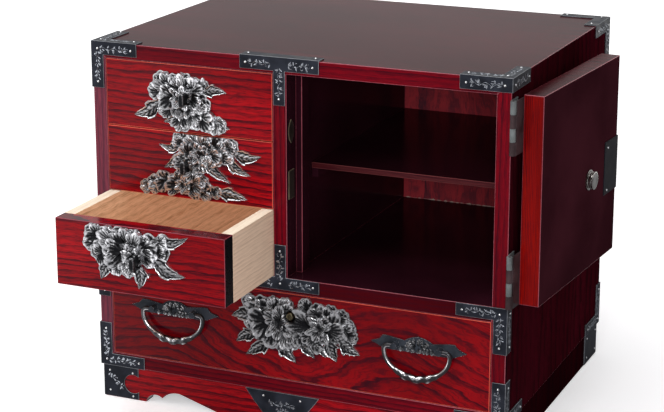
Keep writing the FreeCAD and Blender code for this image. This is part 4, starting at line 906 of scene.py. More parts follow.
class CHEST_OT_door(Dress):
    """Finish the door: dark inner face, bright grained edge and outer face"""

    bl_idname = "chest.door"
    bl_label = "Door"

    def execute(self, context):
        lacquer = self.lacquer
        inner = plain_lacquer("door_inner_lacquer", lacquer.door_inside, gloss=0.34, specular=0.0)
        edge_red = lacquered_wood("door_edge_lacquer", lacquer.door_edge, lacquer.grain,
                                  turn=GRAIN_ALONG_Z, specular=0.04, **DOOR_EDGE_FIGURE)
        face = front_lacquer(lacquer, "door_face_lacquer", bend=3.2, turn=GRAIN_ALONG_Y)
        top = top_lacquer(lacquer)
        lacquered_board("door_panel", lacquer, (
            (facing(-OUT_OF_DOOR), inner), (facing(OUT_OF_DOOR), face), (facing(UP), top),
            (facing(-UP), top)), base=edge_red)
        return {"FINISHED"}


LOCK_PLATE_IRON = (0.009, 0.009, 0.012)
STILE_PLATE_METAL, STILE_PLATE_RIM = (0.020, 0.014, 0.012), (0.12, 0.10, 0.065)
# The engraved vine, as shares of its band and of a line's width, and its leaves' leans and lengths.
SCROLL_CELL_SHARE, SCROLL_SWAY_SHARE, SCROLL_GAP_SHARE, SCROLL_LIFT_SHARE = 0.50, 0.12, 0.04, 0.3
SCROLL_LEAVES = ((0.9, 0.34), (0.2, 0.26), (1.4, 0.28))
SCROLL_POINTS_PER_CELL, SCROLL_CURL_POINTS, SCROLL_LEAF_POINTS = 8, 12, 6
SHEETS = (
    "top_left_bracket", "top_right_bracket", "top_tee_bracket", "middle_tee_bracket",
    "middle_left_bracket", "middle_right_bracket", "bottom_left_bracket", "bottom_right_bracket",
    "rear_left_brackets", "rear_right_brackets", "front_left_foot_plate",
    "front_right_foot_plate", "rear_left_foot_plate", "rear_right_foot_plate",
    "base_centre_plate",
)


def ribbon(surfaces, line, breadth, out, lift, tone):
    """Adds a low ridge along a flat line of points: its rims lie on the sheet, its middle above."""
    step = np.gradient(line, axis=0)
    aside = np.cross(out, step)
    aside /= np.linalg.norm(aside, axis=1)[:, None] + MERGE ** 2
    half = np.asarray(breadth)[:, None] / 2
    rows = (line - aside * half, line + lift * out, line + aside * half)
    surfaces.add(np.stack(rows, 1), tone)


def scroll(surfaces, start, along, across, out, length, band, width, chance):
    """An engraved vine on one arm of a bracket, as thin ridges just above the sheet.

    The stem is start + along * s + across * a sin(pi s / c). In each half wave of length c a curl,
    most of a shrinking ring, turns back towards the stem, and small leaves stand beside it. The
    curls and leaves differ in size and lean.
    """
    cells = max(2, round(length / (band * SCROLL_CELL_SHARE)))
    cell = length / cells
    sway = band * SCROLL_SWAY_SHARE

    def vine(s, t, breadth, tone=0.9):
        line = start + s[:, None] * along + t[:, None] * across
        ribbon(surfaces, line, breadth, out, width * SCROLL_LIFT_SHARE, tone)

    s = np.linspace(0.02 * length, 0.98 * length, SCROLL_POINTS_PER_CELL * cells)
    vine(s, sway * np.sin(math.pi * s / cell), np.full(len(s), width * 0.8), 0.7)
    blade = np.linspace(0, 1, SCROLL_LEAF_POINTS)
    for number in range(cells):
        way = 1 if number % 2 else -1
        turn = np.linspace(0, chance.uniform(0.7, 1.5) * math.pi, SCROLL_CURL_POINTS)
        shrink = 1 - 0.55 * turn / turn[-1]
        radius = band * chance.uniform(0.09, 0.18) * shrink
        begin = chance.uniform(-0.5, 1.1)
        vine((number + chance.uniform(0.35, 0.65)) * cell + radius * np.cos(turn + begin),
             way * (sway + radius * np.sin(turn + begin)), width * shrink)
        for lean, reach in SCROLL_LEAVES:
            lean += chance.uniform(-0.5, 0.5)
            side = way * chance.choice((-1, 1))
            leaf_line = blade * band * reach
            vine((number + chance.uniform(0.0, 0.6)) * cell + leaf_line * math.cos(lean),
                 side * (band * SCROLL_GAP_SHARE + leaf_line * math.sin(lean)),
                 width * (0.3 + 2.9 * np.sin(math.pi * blade)))


class CHEST_OT_sheet_iron(Dress):
    """Finish the sheet iron: brackets, foot plates and lock plate, with engraved scrolls"""

    bl_idname = "chest.sheet_iron"
    bl_label = "Sheet iron"

    def execute(self, context):
        iron = self.iron
        sheet = sheet_metal("sheet_iron", iron.sheet)
        # The softened edges get a lighter iron: a painted highlight.
        rim = sheet_metal("rubbed_sheet_rim", iron.rim)
        for label in SHEETS:
            softened_copy(label, sheet, iron.sheet_edge, edge_material=rim)
        dark = sheet_metal("lock_plate_iron", LOCK_PLATE_IRON)
        softened_copy("door_lock_plate", dark, iron.sheet_edge, edge_material=sheet)
        engraved = cast_iron("scroll_silver", iron.scroll, iron.sheet)
        vines = Surfaces()
        chance = np.random.default_rng(iron.seed)
        for arm in bracket_arms() + foot_arms():
            scroll(vines, *arm, iron.scroll_width, chance)
        piece_from(vines, "bracket_scrolls", engraved, "chest")
        shade = sheet_metal("stile_plate_metal", STILE_PLATE_METAL)
        lining = sheet_metal("stile_plate_rim", STILE_PLATE_RIM)
        softened_copy("stile_plates", shade, iron.sheet_edge * 2, edge_material=lining)
        return {"FINISHED"}


def foot_arms():
    """Start, directions, length and band of the scrolls on the foot and centre plates."""
    arms = []
    band, foot_length, proud = 0.011, 0.024, 0.0001
    from_side, from_top = 0.007, 0.009
    level, steep = 0.72, 0.69
    for hand, sign in (("left", 1), ("right", -1)):
        low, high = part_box("front_%s_foot_plate" % hand)
        outer = low.x if sign > 0 else high.x
        start = np.array((outer + sign * from_side, low.y - proud, high.z - from_top))
        arms.append((start, RIGHT * level * sign - UP * steep, RIGHT * steep * sign + UP * level,
                     OUT, foot_length, band))
    low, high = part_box("base_centre_plate")
    for share, length in ((0.58, 0.030), (0.34, 0.016)):
        height = low.z + share * (high.z - low.z)
        start = np.array(((low.x + high.x - length) / 2, low.y - proud, height))
        arms.append((start, RIGHT, UP, OUT, length, band))
    return arms


def bracket_arms():
    """Start, directions, length and band of every bracket arm that carries a scroll."""
    arms = []
    metal, band, margin = 0.00125, 0.013, 0.009
    front_length, side_length, upright_length, tee_foot_length = 0.052, 0.054, 0.048, 0.0475
    half = band / 2
    left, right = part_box("left_side_panel"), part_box("right_side_panel")
    x0, x1, y0, y1 = left[0].x, right[1].x, left[0].y, left[1].y
    floor, top = left[0].z, left[1].z
    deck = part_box("middle_shelf")[1].z

    def arm(x, y, z, along, across, out, length):
        start = np.array((x, y, z)) + out * metal + along * margin
        arms.append((start, along, across, out, length - 2 * margin, band))

    for sign, x, outward in ((1, x0, -RIGHT), (-1, x1, RIGHT)):
        inward = RIGHT * sign
        for z in (top - half, floor + half, deck - half):
            arm(x, y0, z, inward, UP, OUT, front_length)
        for z in (top - half, floor + half):
            arm(x, y0, z, -OUT, UP, outward, side_length)
            arm(x, y1, z, OUT, UP, outward, side_length)
        arm(x, y0 + half, top, inward, -OUT, UP, front_length)
        arm(x + half * sign, y0, top, -OUT, RIGHT, UP, side_length)
        ends = [(top, -UP), (floor, UP)]
        for z, along in [(deck, -UP), (floor, UP)] + ends[:1] * (sign > 0):
            arm(x + half * sign, y0, z, along, RIGHT, OUT, upright_length)
            arm(x, y0 + half, z, along, OUT, outward, upright_length)
        for z, along in ends:
            arm(x, y1 - half, z, along, OUT, outward, upright_length)
    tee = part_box("top_tee_bracket")
    middle = (tee[0].x + tee[1].x) / 2
    for sign in (1, -1):
        for z in (top - half, deck - half):
            arm(middle, y0, z, RIGHT * sign, UP, OUT, tee[1].x - middle)
    arm(middle, y0, top, -UP, RIGHT, OUT, upright_length)
    arm(middle, y0, deck - band, UP, RIGHT, OUT, tee_foot_length)
    return arms


def domes_of(label):
    """Middle, direction and radius of each nail of a CAD node, found from its loose faces.

    Points of one nail lie nearer than the nail spread. Its thin direction is its axis.
    """
    spread = 4 * MILLIMETRE
    co = np.array([v.co for v in frame["nodes"][label].data.vertices])
    left = np.ones(len(co), bool)
    found = []
    while left.any():
        near = left & (np.abs(co - co[left][0]).max(axis=1) < spread)
        low, high = co[near].min(axis=0), co[near].max(axis=0)
        axis = int(np.argmin(high - low))
        middle = (low + high) / 2
        away = 1.0 if middle[axis] > case_middle(axis) else -1.0
        middle[axis] = low[axis] if away > 0 else high[axis]
        found.append((middle, away * np.eye(3)[axis], (high - low).max() / 2))
        left &= ~near
    return found


def case_middle(axis):
    """The case's middle along one axis."""
    return (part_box("left_side_panel")[0][axis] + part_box("right_side_panel")[1][axis]) / 2


NAIL_BRIGHT, NAIL_BLACK = (0.80, 0.81, 0.83), (0.10, 0.10, 0.11)
NAIL_TONES = (0.25, 0.6, 0.8, 0.9, 1.0)
HINGE_SHADE = (0.040, 0.025, 0.027)


class CHEST_OT_nails(Dress):
    """Set the domed nail heads"""

    bl_idname = "chest.nails"
    bl_label = "Nails"

    def execute(self, context):
        steel = cast_iron("nail_steel", NAIL_BRIGHT, NAIL_BLACK)
        heads = Surfaces()
        tone = np.array(NAIL_TONES)[:, None]
        rise = np.linspace(0, math.pi / 2, len(tone))
        for middle, direction, radius in domes_of("bracket_nails"):
            profile = radius * np.stack([0.95 * np.sin(rise), np.cos(rise)], 1)
            lathe(heads, middle, direction, profile, tone, segments=12)
        piece_from(heads, "nail_heads", steel, "chest", ["bracket_nails"])
        return {"FINISHED"}


class CHEST_OT_hinges(Dress):
    """Finish both hinges"""

    bl_idname = "chest.hinges"
    bl_label = "Hinges"

    def execute(self, context):
        steel = sheet_metal("hinge_steel", self.iron.steel, roughness=0.35)
        # Painted shade: the hinges' door leaves are dark, standing in shadow.
        door_leaf_shade = sheet_metal("hinge_shade", HINGE_SHADE, roughness=0.4)
        for place in ("upper", "lower"):
            for leaf, metal in (("frame", steel), ("door", door_leaf_shade)):
                softened_copy("%s_hinge_%s_leaf" % (place, leaf), metal, 0.0)
        return {"FINISHED"}


# Castings


# Rings of petals: radius share, petal count and foot share.
CUSHION_RINGS = ((1.05, 5, 0.0),)
FULL_RINGS = ((1.15, 6, 0.0), (0.85, 5, 0.30), (0.55, 4, 0.55))
CUSHION_RISE, CUSHION_SPREAD = 0.0014, 1.15
# Points along and across each form.
LEAF_GRID, PETAL_GRID, CUSHION_GRID = (49, 19), (11, 21), (7, 40)
# A leaf's widest place along it and its number of teeth.
LEAF_WIDEST, LEAF_TEETH = 0.30, 2.3
# A pull's profile, as shares of its reach and of its size, and its tones along it.
PULL_PROFILE_SHARES = (
    (0.0, 1.15), (0.25, 0.80), (0.55, 0.78), (0.80, 1.0), (0.94, 1.0), (0.99, 0.9), (1.0, 0.6),
    (1.0, 0.0))
PULL_TONES = (0.0, 0.0, 0.05, 0.20, 0.42, 0.42, 0.20, 0.12)
PULL_WIDE, PULL_HIGH, PULL_REACH, DOOR_PULL_REACH = 0.0055, 0.015, 0.0165, 0.014
PULL_FOOT_SHARE, PULL_LEVEL_SHARE = 0.4, 0.52
PULL_POINTS = 24
DRAWER_CASTING, WIDE_CASTING, DOOR_CASTING = (0.168, 0.0687), (0.150, 0.0930), (0.134, 0.134)
DOOR_THICKNESS = 0.0205
DOOR_SEED = 9


class Ground:
    """A flat ground that a casting stands on: a corner, directions across, up and out, a size.

    Its hollow is a round, as middle across, middle up and radius, that the casting leaves low.
    """

    def __init__(self, corner, across, up, out, wide, high, hollow=(0.0, 0.0, 0.0)):
        self.corner, self.across, self.up, self.out = corner, across, up, out
        self.wide, self.high = wide, high
        self.hollow = hollow

    def openness(self, s, t):
        """How far points stand clear of the hollow: 0 in its middle, 1 beyond its rim."""
        s0, t0, radius = self.hollow
        return np.clip(np.hypot(s - s0, t - t0) / (radius + MERGE) - 0.6, 0.0, 0.4) / 0.4

    def points(self, s, t, height):
        """Points at s across, t up and height out, from the corner."""
        return (self.corner + s[..., None] * self.across + t[..., None] * self.up
                + height[..., None] * self.out)


def closed_relief(surfaces, ground, s, t, height, tone, wall=0.45):
    """Adds a raised form whose sides and far end run down to the ground, closed underneath.

    wall is the walls' tone as a share of the rim's.
    """
    s = np.concatenate([s[:, :1], s, s[:, -1:]], 1)
    t = np.concatenate([t[:, :1], t, t[:, -1:]], 1)
    low = np.zeros((len(height), 1))
    height = np.concatenate([low, height, low], 1)
    tone = np.concatenate([tone[:, :1] * wall, tone, tone[:, -1:] * wall], 1)
    s, t = np.concatenate([s[:1], s, s[-1:]]), np.concatenate([t[:1], t, t[-1:]])
    zero = np.zeros((1, height.shape[1]))
    height = np.concatenate([zero, height, zero])
    tone = np.concatenate([tone[:1] * wall, tone, tone[-1:] * wall])
    s = np.clip(s, 0.0, ground.wide)
    t = np.clip(t, 0.0, ground.high)
    clear = ground.openness(s, t)
    # Painted shade: the tone darkens towards the hollow left round a keyhole.
    tone = tone * (0.3 + 0.7 * clear)
    surfaces.add(ground.points(s, t, height * clear), np.clip(tone, 0, 1), around=True)


def leaf(surfaces, ground, root, tip, width, rise, chance):
    """A pointed leaf with large forward teeth, a sunk midrib, folded halves and side ribs.

    With u from root to tip and v across, half its width is the lesser of (u / 0.30)^0.5 and
    ((1 - u) / 0.70)^0.85, swollen along each tooth; a gutter runs inside its raised rims.
    """
    u = np.linspace(0.0, 1, LEAF_GRID[0])[:, None]
    v = np.linspace(-1, 1, LEAF_GRID[1])[None]
    span = np.array(tip) - np.array(root)
    length = np.hypot(*span)
    forward = span / length
    aside = np.array((-forward[1], forward[0]))
    teeth = LEAF_TEETH * u + 0.35 * np.sign(v) + chance.uniform(0, 1)
    outline = np.minimum((u / LEAF_WIDEST) ** 0.5, ((1 - u) / (1 - LEAF_WIDEST)) ** 0.85)
    half = width / 2 * outline * (0.95 + 0.34 * (teeth % 1.0) ** 1.6) + MERGE
    bend = chance.uniform(-0.14, 0.14)
    along = u * length + np.abs(v) * half * 0.45 * (1 - u)
    over = v * half + bend * length * np.sin(math.pi * u)
    s = root[0] + along * forward[0] + over * aside[0]
    t = root[1] + along * forward[1] + over * aside[1]
    rim = np.exp(-((np.abs(v) - 0.97) / 0.15) ** 2)
    gutter = np.exp(-((np.abs(v) - 0.66) / 0.13) ** 2)
    midrib = np.exp(-(v / 0.07) ** 2)
    ribs = np.cos(math.tau * (6.0 * u - 1.4 * np.abs(v) + chance.uniform(0, 1)))
    arch = np.sin(math.pi * np.clip(0.08 + u, 0, 0.93)) ** 0.5
    height = rise * arch * (0.62 + 0.20 * np.cos(2.6 * v) + 0.34 * rim - 0.16 * gutter
                            - 0.20 * midrib + 0.05 * ribs * (1 - rim))
    lit = 0.07 * np.sign(v) * chance.choice((-1, 1))
    # Painted highlight on the raised rims, painted shade in the gutters and along the midrib, and one half
    # painted lighter than the other.
    tone = (0.42 + 0.62 * rim - 0.34 * gutter + (0.12 * ribs + lit) * (1 - rim) - 0.20 * midrib
            + 0.12 * (u - 0.3))
    closed_relief(surfaces, ground, s, t, height + 0 * v, tone + 0 * v, wall=0.85)


def petal(surfaces, ground, root, direction, length, spread, foot, rise, chance, shade=0.0):
    """A furled petal: a fan of rays that rises from its root, with a ruffled, partly bright rim.

    With u along a ray and v across the fan, the rays reach
    l (0.84 + 0.05 cos(k v + p) + 0.14 (1 - |v - w|)), less towards the sides, furrows run along
    them, and the height climbs as a quarter sine.
    """
    u = np.linspace(0.0, 1, PETAL_GRID[0])[:, None]
    v = np.linspace(-1, 1, PETAL_GRID[1])[None]
    phase, ruffles = chance.uniform(0, math.tau), chance.uniform(2.2, 4.2)
    skew = chance.uniform(-0.5, 0.5)
    ruffle = np.cos(ruffles * v + phase)
    reach = length * (0.84 + 0.05 * ruffle + 0.14 * (1 - np.abs(v - skew))) * (1 - 0.24 * v ** 2)
    sway = chance.uniform(-0.35, 0.35)
    angle = direction + spread * v * (0.95 - 0.25 * u) + sway * u ** 2
    s = root[0] + u * reach * np.cos(angle)
    t = root[1] + u * reach * np.sin(angle)
    furrows = np.cos(4.0 * ruffles * v + 2 * phase)
    climb = np.sin(0.5 * math.pi * u) ** 1.2
    rim_highlight = np.exp(-((u - 0.95) / 0.08) ** 2) * (0.80 + 0.20 * np.cos(2.2 * v + phase))
    height = foot + rise * (0.12 + 0.88 * climb - 0.30 * (v * u) ** 2 + 0.10 * ruffle * u ** 1.5
                            + 0.03 * furrows * u * (1 - 0.5 * u))
    # Painted highlight on the rolled rim; painted shade at the root, where the petal tucks under the next.
    tone = (0.08 - shade + 0.38 * u ** 0.8 + 0.50 * rim_highlight + 0.22 * furrows * u ** 0.7
            + 0.10 * ruffle * u ** 2 + chance.uniform(-0.16, 0.14))
    closed_relief(surfaces, ground, s, t, np.clip(height, 0.1 * rise, None), tone)


def rosette(surfaces, ground, centre, radius, rise, chance, rings=FULL_RINGS, shade=0.0):
    """Rings of petals round a middle; a ring is its radius share, petal count and foot share."""
    for share, petals, low in rings:
        turn = chance.uniform(0, math.tau)
        for number in range(petals):
            petal(surfaces, ground, centre, turn + math.tau * number / petals, radius * share,
                  3.4 / petals, rise * low, rise * (0.95 - low) * chance.uniform(0.8, 1.1), chance,
                  shade)


def cushion(surfaces, ground, centre, radius, rise, chance):
    """A low scalloped round of backing plate with a bright rim: r = R (1 + 0.06 cos(k t + p))."""
    u = np.linspace(0.02, 1, CUSHION_GRID[0])[:, None]
    angle = np.linspace(0, math.tau, CUSHION_GRID[1])[None]
    lobes = chance.integers(5, 9)
    edge = radius * (1 + 0.06 * np.cos(lobes * angle + chance.uniform(0, math.tau)))
    rim = np.exp(-((u - 0.95) / 0.12) ** 2) + 0 * angle
    s = centre[0] + u * edge * np.cos(angle)
    t = centre[1] + u * edge * np.sin(angle)
    closed_relief(surfaces, ground, s, t, rise * (0.8 + 0.2 * rim), 0.05 + 0.85 * rim)


def spray(surfaces, ground, centre, heart, radius, rise, count, chance):
    """Petals over one blossom's round, laid like scales that point away from the casting's heart."""
    away = np.array(centre) - np.array(heart)
    cushion(surfaces, ground, centre, radius * CUSHION_SPREAD, CUSHION_RISE, chance)
    if np.hypot(*away) < radius:
        rosette(surfaces, ground, centre, radius, rise, chance)
        return
    rosette(surfaces, ground, centre, radius, rise * 0.6, chance, CUSHION_RINGS, shade=0.18)
    flow = math.atan2(away[1], away[0])
    forward = np.array((math.cos(flow), math.sin(flow)))
    for number in range(count):
        lean = chance.uniform(-0.75, 0.75)
        spot = flow + lean * 2.2
        offset = np.array((math.cos(spot), math.sin(spot)))
        root = centre + offset * radius * (0.40 - 0.35 * number / count) - forward * radius * 0.70
        petal(surfaces, ground, root, flow + lean * 0.9, radius * chance.uniform(1.20, 1.65),
              chance.uniform(0.70, 1.05), rise * 0.10 * number,
              rise * chance.uniform(0.65, 1.0) * (0.7 + 0.3 * number / count), chance)


def casting(surfaces, ground, label, rise, seed):
    """All leaves of one casting, then its petals from the rim to the nearest heart."""
    chance = np.random.default_rng(seed)
    size = np.array((ground.wide, ground.high))
    for root_s, root_t, tip_s, tip_t, width, share in LEAVES[label]:
        leaf(surfaces, ground, size * (root_s, root_t), size * (tip_s, tip_t), width * ground.wide,
             share * rise, chance)
    hearts = size * HEARTS[label]
    blossoms = []
    for s, t, radius, share, count in BLOSSOMS[label]:
        centre = size * (s, t)
        distances = np.hypot(*(centre - hearts).T)
        nearest = int(np.argmin(distances))
        blossoms.append((nearest, -distances[nearest], centre, radius * ground.wide, share, count))
    for nearest, _, centre, radius, share, count in sorted(blossoms, key=lambda row: row[:2]):
        spray(surfaces, ground, centre, hearts[nearest], radius, share * rise, count, chance)


def ground_of_front(front, size, hole=None):
    """The casting's ground in the middle of a drawer front, left low round a node's box."""
    wide, tall = size
    low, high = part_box(front)
    corner = np.array(((low.x + high.x - wide) / 2, low.y, (low.z + high.z - tall) / 2))
    hollow = (0.0, 0.0, 0.0)
    if hole:
        near, far = (np.array(point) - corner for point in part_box(hole))
        hollow = ((near[0] + far[0]) / 2, (near[2] + far[2]) / 2, (far[0] - near[0]) * 0.85)
    return Ground(corner, RIGHT, UP, OUT, wide, tall, hollow)


def blade_pull(surfaces, foot, across, up, out, wide, high, reach):
    """An upright pull: a rounded oblong, |a|^4 + |b|^4 = 1, waisted near the front."""
    turn = np.linspace(0, math.tau, PULL_POINTS, endpoint=False)
    a, b = (np.sign(part) * np.abs(part) ** 0.5 for part in (np.cos(turn), np.sin(turn)))
    rows = [foot + out * reach * share + np.outer(a * wide / 2 * size, across)
            + np.outer(b * high / 2 * min(size, 1.0), up) for share, size in PULL_PROFILE_SHARES]
    surfaces.add(np.stack(rows), np.array(PULL_TONES)[:, None], around=True)


class CHEST_OT_castings(Dress):
    """Cast flower fittings of the drawers and the door"""

    bl_idname = "chest.castings"
    bl_label = "Castings"

    def execute(self, context):
        iron = self.iron
        metal = cast_iron("rubbed_cast_iron", iron.bright, iron.black)
        shaded = cast_iron("shaded_cast_iron", iron.shaded, iron.black)
        foot_rise = iron.relief * PULL_FOOT_SHARE
        for number, name in enumerate(DRAWERS):
            ground = ground_of_front(name + "_drawer_front", DRAWER_CASTING)
            surfaces = Surfaces()
            casting(surfaces, ground, name, iron.relief, iron.seed + number)
            foot = ground.points(np.array(0.5 * ground.wide),
                                 np.array(PULL_LEVEL_SHARE * ground.high), np.array(foot_rise))
            blade_pull(surfaces, foot, RIGHT, UP, OUT, PULL_WIDE, PULL_HIGH, PULL_REACH - foot_rise)
            self.cast(surfaces, name + "_drawer", metal)
        ground = ground_of_front("wide_drawer_front", WIDE_CASTING, "wide_drawer_keyhole")
        surfaces = Surfaces()
        casting(surfaces, ground, "wide", iron.relief, iron.seed + len(DRAWERS))
        self.cast(surfaces, "wide_drawer", shaded)
        self.door_casting(metal, iron)
        return {"FINISHED"}

    def cast(self, surfaces, body, metal):
        """Sets a casting on its body in place of the solid fitting."""
        piece_from(surfaces, body + "_casting", metal, body, [body + "_fitting"])

    def door_casting(self, metal, iron):
        """The casting and pull on the door's outer face, which is folded against the side."""
        low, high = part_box("door_ferrule")
        foot = (np.array(low) + np.array(high)) / 2 + OUT_OF_DOOR * (FERRULE_REACH / 2 + DOOR_THICKNESS)
        wide, tall = DOOR_CASTING
        corner = foot - LEAF_OF_DOOR * wide / 2 - UP * tall / 2
        ground = Ground(corner, LEAF_OF_DOOR, UP, OUT_OF_DOOR, wide, tall)
        surfaces = Surfaces()
        casting(surfaces, ground, "door", iron.relief, iron.seed + DOOR_SEED)
        blade_pull(surfaces, foot, LEAF_OF_DOOR, UP, OUT_OF_DOOR, PULL_WIDE, PULL_HIGH, DOOR_PULL_REACH)
        self.cast(surfaces, "door", metal)


HANDLE_SHARE, HANDLE_BLACK = 0.7, (0.020, 0.022, 0.026)
POLISHED_BLACK = (0.06, 0.06, 0.065)
# The plates' softened edges are painted much lighter: a painted highlight.
PLATE_IRON, PLATE_RIM_HIGHLIGHT, PLATE_THICKNESS = (0.026, 0.030, 0.038), (0.80, 0.74, 0.76), 0.0016


class CHEST_OT_handles(Dress):
    """Swinging handles of the wide drawer: plates, posts and bails"""

    bl_idname = "chest.handles"
    bl_label = "Handles"

    def execute(self, context):
        iron = self.iron
        metal = cast_iron("handle_iron", dimmed(iron.shaded, HANDLE_SHARE), HANDLE_BLACK,
                          mottle=0.25, polish=0.1)
        polished = cast_iron("polished_iron", iron.bright, POLISHED_BLACK, mottle=0.2, polish=0.20)
        plate_iron = sheet_metal("handle_plate_iron", PLATE_IRON, roughness=0.42)
        # Painted highlight on the plates' softened edges.
        rim = sheet_metal("rubbed_plate_rim", PLATE_RIM_HIGHLIGHT)
        for hand in HANDS:
            softened_copy(hand + "_handle_plate", plate_iron,
                          iron.sheet_edge * 1.5, edge_material=rim)
            self.plate_relief(hand, metal)
            self.bail(hand, polished)
        return {"FINISHED"}

    def plate_relief(self, hand, metal):
        """Small curled petals over the plate's hump and hanging along its lower edge.

        The hump's petals stand on half rings, flattened across and more so upwards.
        """
        wide, tall, below = 0.040, 0.0185, 0.001
        row_level, row_length, row_rise = 0.0065, 0.0055, 0.0017
        ring_level, ring_length, across_share, up_share = 0.0060, 0.0052, 0.75, 0.45
        rings = ((0.0125, 9, 0.0014), (0.0085, 7, 0.0020), (0.0045, 5, 0.0026))
        row_shares, ring_start = np.linspace(0.04, 0.96, 11), 0.05
        row_spread, ring_spread = 0.75, 0.6
        low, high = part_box(hand + "_handle_plate")
        corner = np.array(((low.x + high.x - wide) / 2, high.y - PLATE_THICKNESS, low.z - below))
        ground = Ground(corner, RIGHT, UP, OUT, wide, tall)
        surfaces = Surfaces()
        chance = np.random.default_rng(self.iron.seed)
        for share in row_shares:
            down = -math.pi / 2 + chance.uniform(-0.6, 0.6)
            petal(surfaces, ground, (share * wide, row_level), down, row_length, row_spread, 0.0,
                  row_rise, chance)
        for ring, count, rise in rings:
            for angle in np.linspace(ring_start, math.pi - ring_start, count):
                root = (wide / 2 + ring * across_share * math.cos(angle),
                        ring_level + ring * up_share * math.sin(angle))
                petal(surfaces, ground, root, angle + chance.uniform(-0.3, 0.3), ring_length,
                      ring_spread, 0.0, rise, chance)
        piece_from(surfaces, hand + "_plate_relief", metal, "wide_drawer")

    def bail(self, hand, metal):
        """A bent rod whose grip carries a twisted leaf.

        Half the centre line is a pin, a quarter turn, a side arc and half of a large bottom arc;
        the other half mirrors it. The rod's radius swells over the grip, in beads and along the
        leaf's ridges, cos(2 t + l / a) cos(t - l / b) round the rod and along it. The ridges and
        a stripe along the rod's inner front are rubbed bright.
        """
        rod, pin, grip = 0.0023, 0.0016, 0.0040
        side_gap, lower_gap = 0.0021, 0.0034
        corner, flank = 0.0047, 0.0220
        pin_end, pin_reach = 0.0240, 0.0275
        bead_length, leaf_length, counter_length, leaf_swell = 0.0019, 0.0031, 0.0042, 0.26
        grip_share, grip_least, bead_depth = 0.66, 0.68, 0.32
        # Where the painted highlight stripe runs round the rod, and its width.
        highlight_turn, highlight_stripe_width = 1.25 * math.pi, 0.42
        corner_points, flank_points, bottom_points, points_round = 9, 12, 48, 14
        low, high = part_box(hand + "_bail")
        half = (high.x - low.x) / 2 - side_gap
        level = high.z - side_gap
        drop = level - low.z - lower_gap
        out, down = half - flank, drop - corner
        bottom = (down ** 2 + out ** 2 - flank ** 2) / (2 * (down - flank))
        lean = math.atan2(out, bottom - down)

        def arc(centre, radius, begin, end, count):
            angle = np.linspace(begin, end, count)
            return np.stack([centre[0] + radius * np.cos(angle), centre[1] + radius * np.sin(angle)], 1)

        right = np.concatenate([
            ((pin_end, 0.0), (half - corner, 0.0)),
            arc((half - corner, -corner), corner, math.pi / 2, 0, corner_points)[1:],
            arc((half - flank, -corner), flank, 0, lean - math.pi / 2, flank_points)[1:],
            arc((0.0, bottom - drop), bottom, lean - math.pi / 2, -math.pi / 2, bottom_points)[1:]])
        line = np.concatenate([right, right[:-1][::-1] * (-1, 1)])
        step = np.gradient(line, axis=0)
        pace = np.linalg.norm(step, axis=1)
        normal = np.stack([-step[:, 1], step[:, 0]], 1) / pace[:, None]
        x_share = np.clip(np.abs(line[:, 0]) / (grip_share * half), 0, 1)
        on_grip = (line[:, 1] < -0.5 * drop) * (1 - x_share ** 4)
        length = np.cumsum(pace)
        length = np.abs(length - length[len(length) // 2])
        beads = 0.5 + 0.5 * np.cos(length / bead_length)
        radius = rod + (grip - rod) * on_grip * (grip_least + bead_depth * beads)
        is_pin = (np.abs(line[:, 0]) < pin_reach) & (line[:, 1] > -rod)
        radius = np.where(is_pin, pin, radius)
        on_grip, length = on_grip[:, None], length[:, None]
        turn = np.linspace(0, math.tau, points_round, endpoint=False)
        ridges = on_grip * np.cos(2 * turn + length / leaf_length) * np.cos(turn - length / counter_length)
        reach = radius[:, None] * (1 + leaf_swell * ridges)
        x = line[:, :1] + normal[:, :1] * reach * np.cos(turn)
        z = line[:, 1:] + normal[:, 1:] * reach * np.cos(turn)
        y = reach * np.sin(turn)
        tube = np.stack([x, y, z], -1) + ((low.x + high.x) / 2, (low.y + high.y) / 2, level)
        first, last = (np.broadcast_to(ring.mean(axis=0), (1, *ring.shape)) for ring in (tube[0], tube[-1]))
        # Painted highlight: a bright stripe along the rod's inner front.
        highlight_stripe = np.exp(-((turn - highlight_turn) / highlight_stripe_width) ** 2)
        tone = (0.20 + (0.62 * (1 - on_grip) + 0.10) * highlight_stripe + 0.75 * ridges
                + 0.15 * on_grip * (beads[:, None] - 0.5))
        surfaces = Surfaces()
        surfaces.add(np.concatenate([first, tube, last]),
                     np.concatenate([tone[:1], tone, tone[-1:]]), around=True)
        piece_from(surfaces, hand + "_bail_rod", metal, hand + "_bail_handle",
                   [hand + "_bail"])


# Profiles of turned pieces: shares of the reach and of the radius.
KEYHOLE_PROFILE_SHARES = (
    (0.0, 1.0), (0.85, 1.0), (0.97, 0.88), (1.0, 0.70), (0.97, 0.45), (0.95, 0.20), (0.95, 0.0))
KEYHOLE_TONES = (0.2, 0.5, 0.8, 0.7, 0.55, 0.5, 0.5)
KEYHOLE_REACH_SHARE, KEYHOLE_BLACK = 0.80, (0.02, 0.012, 0.005)
FERRULE_PROFILE_SHARES = (
    (0.0, 1.0), (0.20, 1.0), (0.22, 0.97), (0.24, 0.78), (0.30, 0.75), (0.42, 0.75), (0.45, 0.84),
    (0.48, 0.86), (0.62, 0.86), (0.65, 0.84), (0.67, 0.78), (0.76, 0.77), (0.79, 0.86), (0.82, 0.88),
    (0.93, 0.87), (0.98, 0.80), (1.0, 0.70), (0.96, 0.55), (0.93, 0.40), (0.93, 0.0))
FERRULE_REACH, FERRULE_RADIUS, PLATING = 0.0075, 0.0105, (0.46, 0.44, 0.42)
SCREW_PROFILE = ((0, 0.0014), (0.0008, 0.0012), (0.0011, 0.0))
SCREW_SUNK, SCREW_FROM_EDGE = 0.0006, 0.0035
SCREW_BRIGHT, SCREW_BLACK = (0.5, 0.5, 0.52), (0.05, 0.05, 0.06)


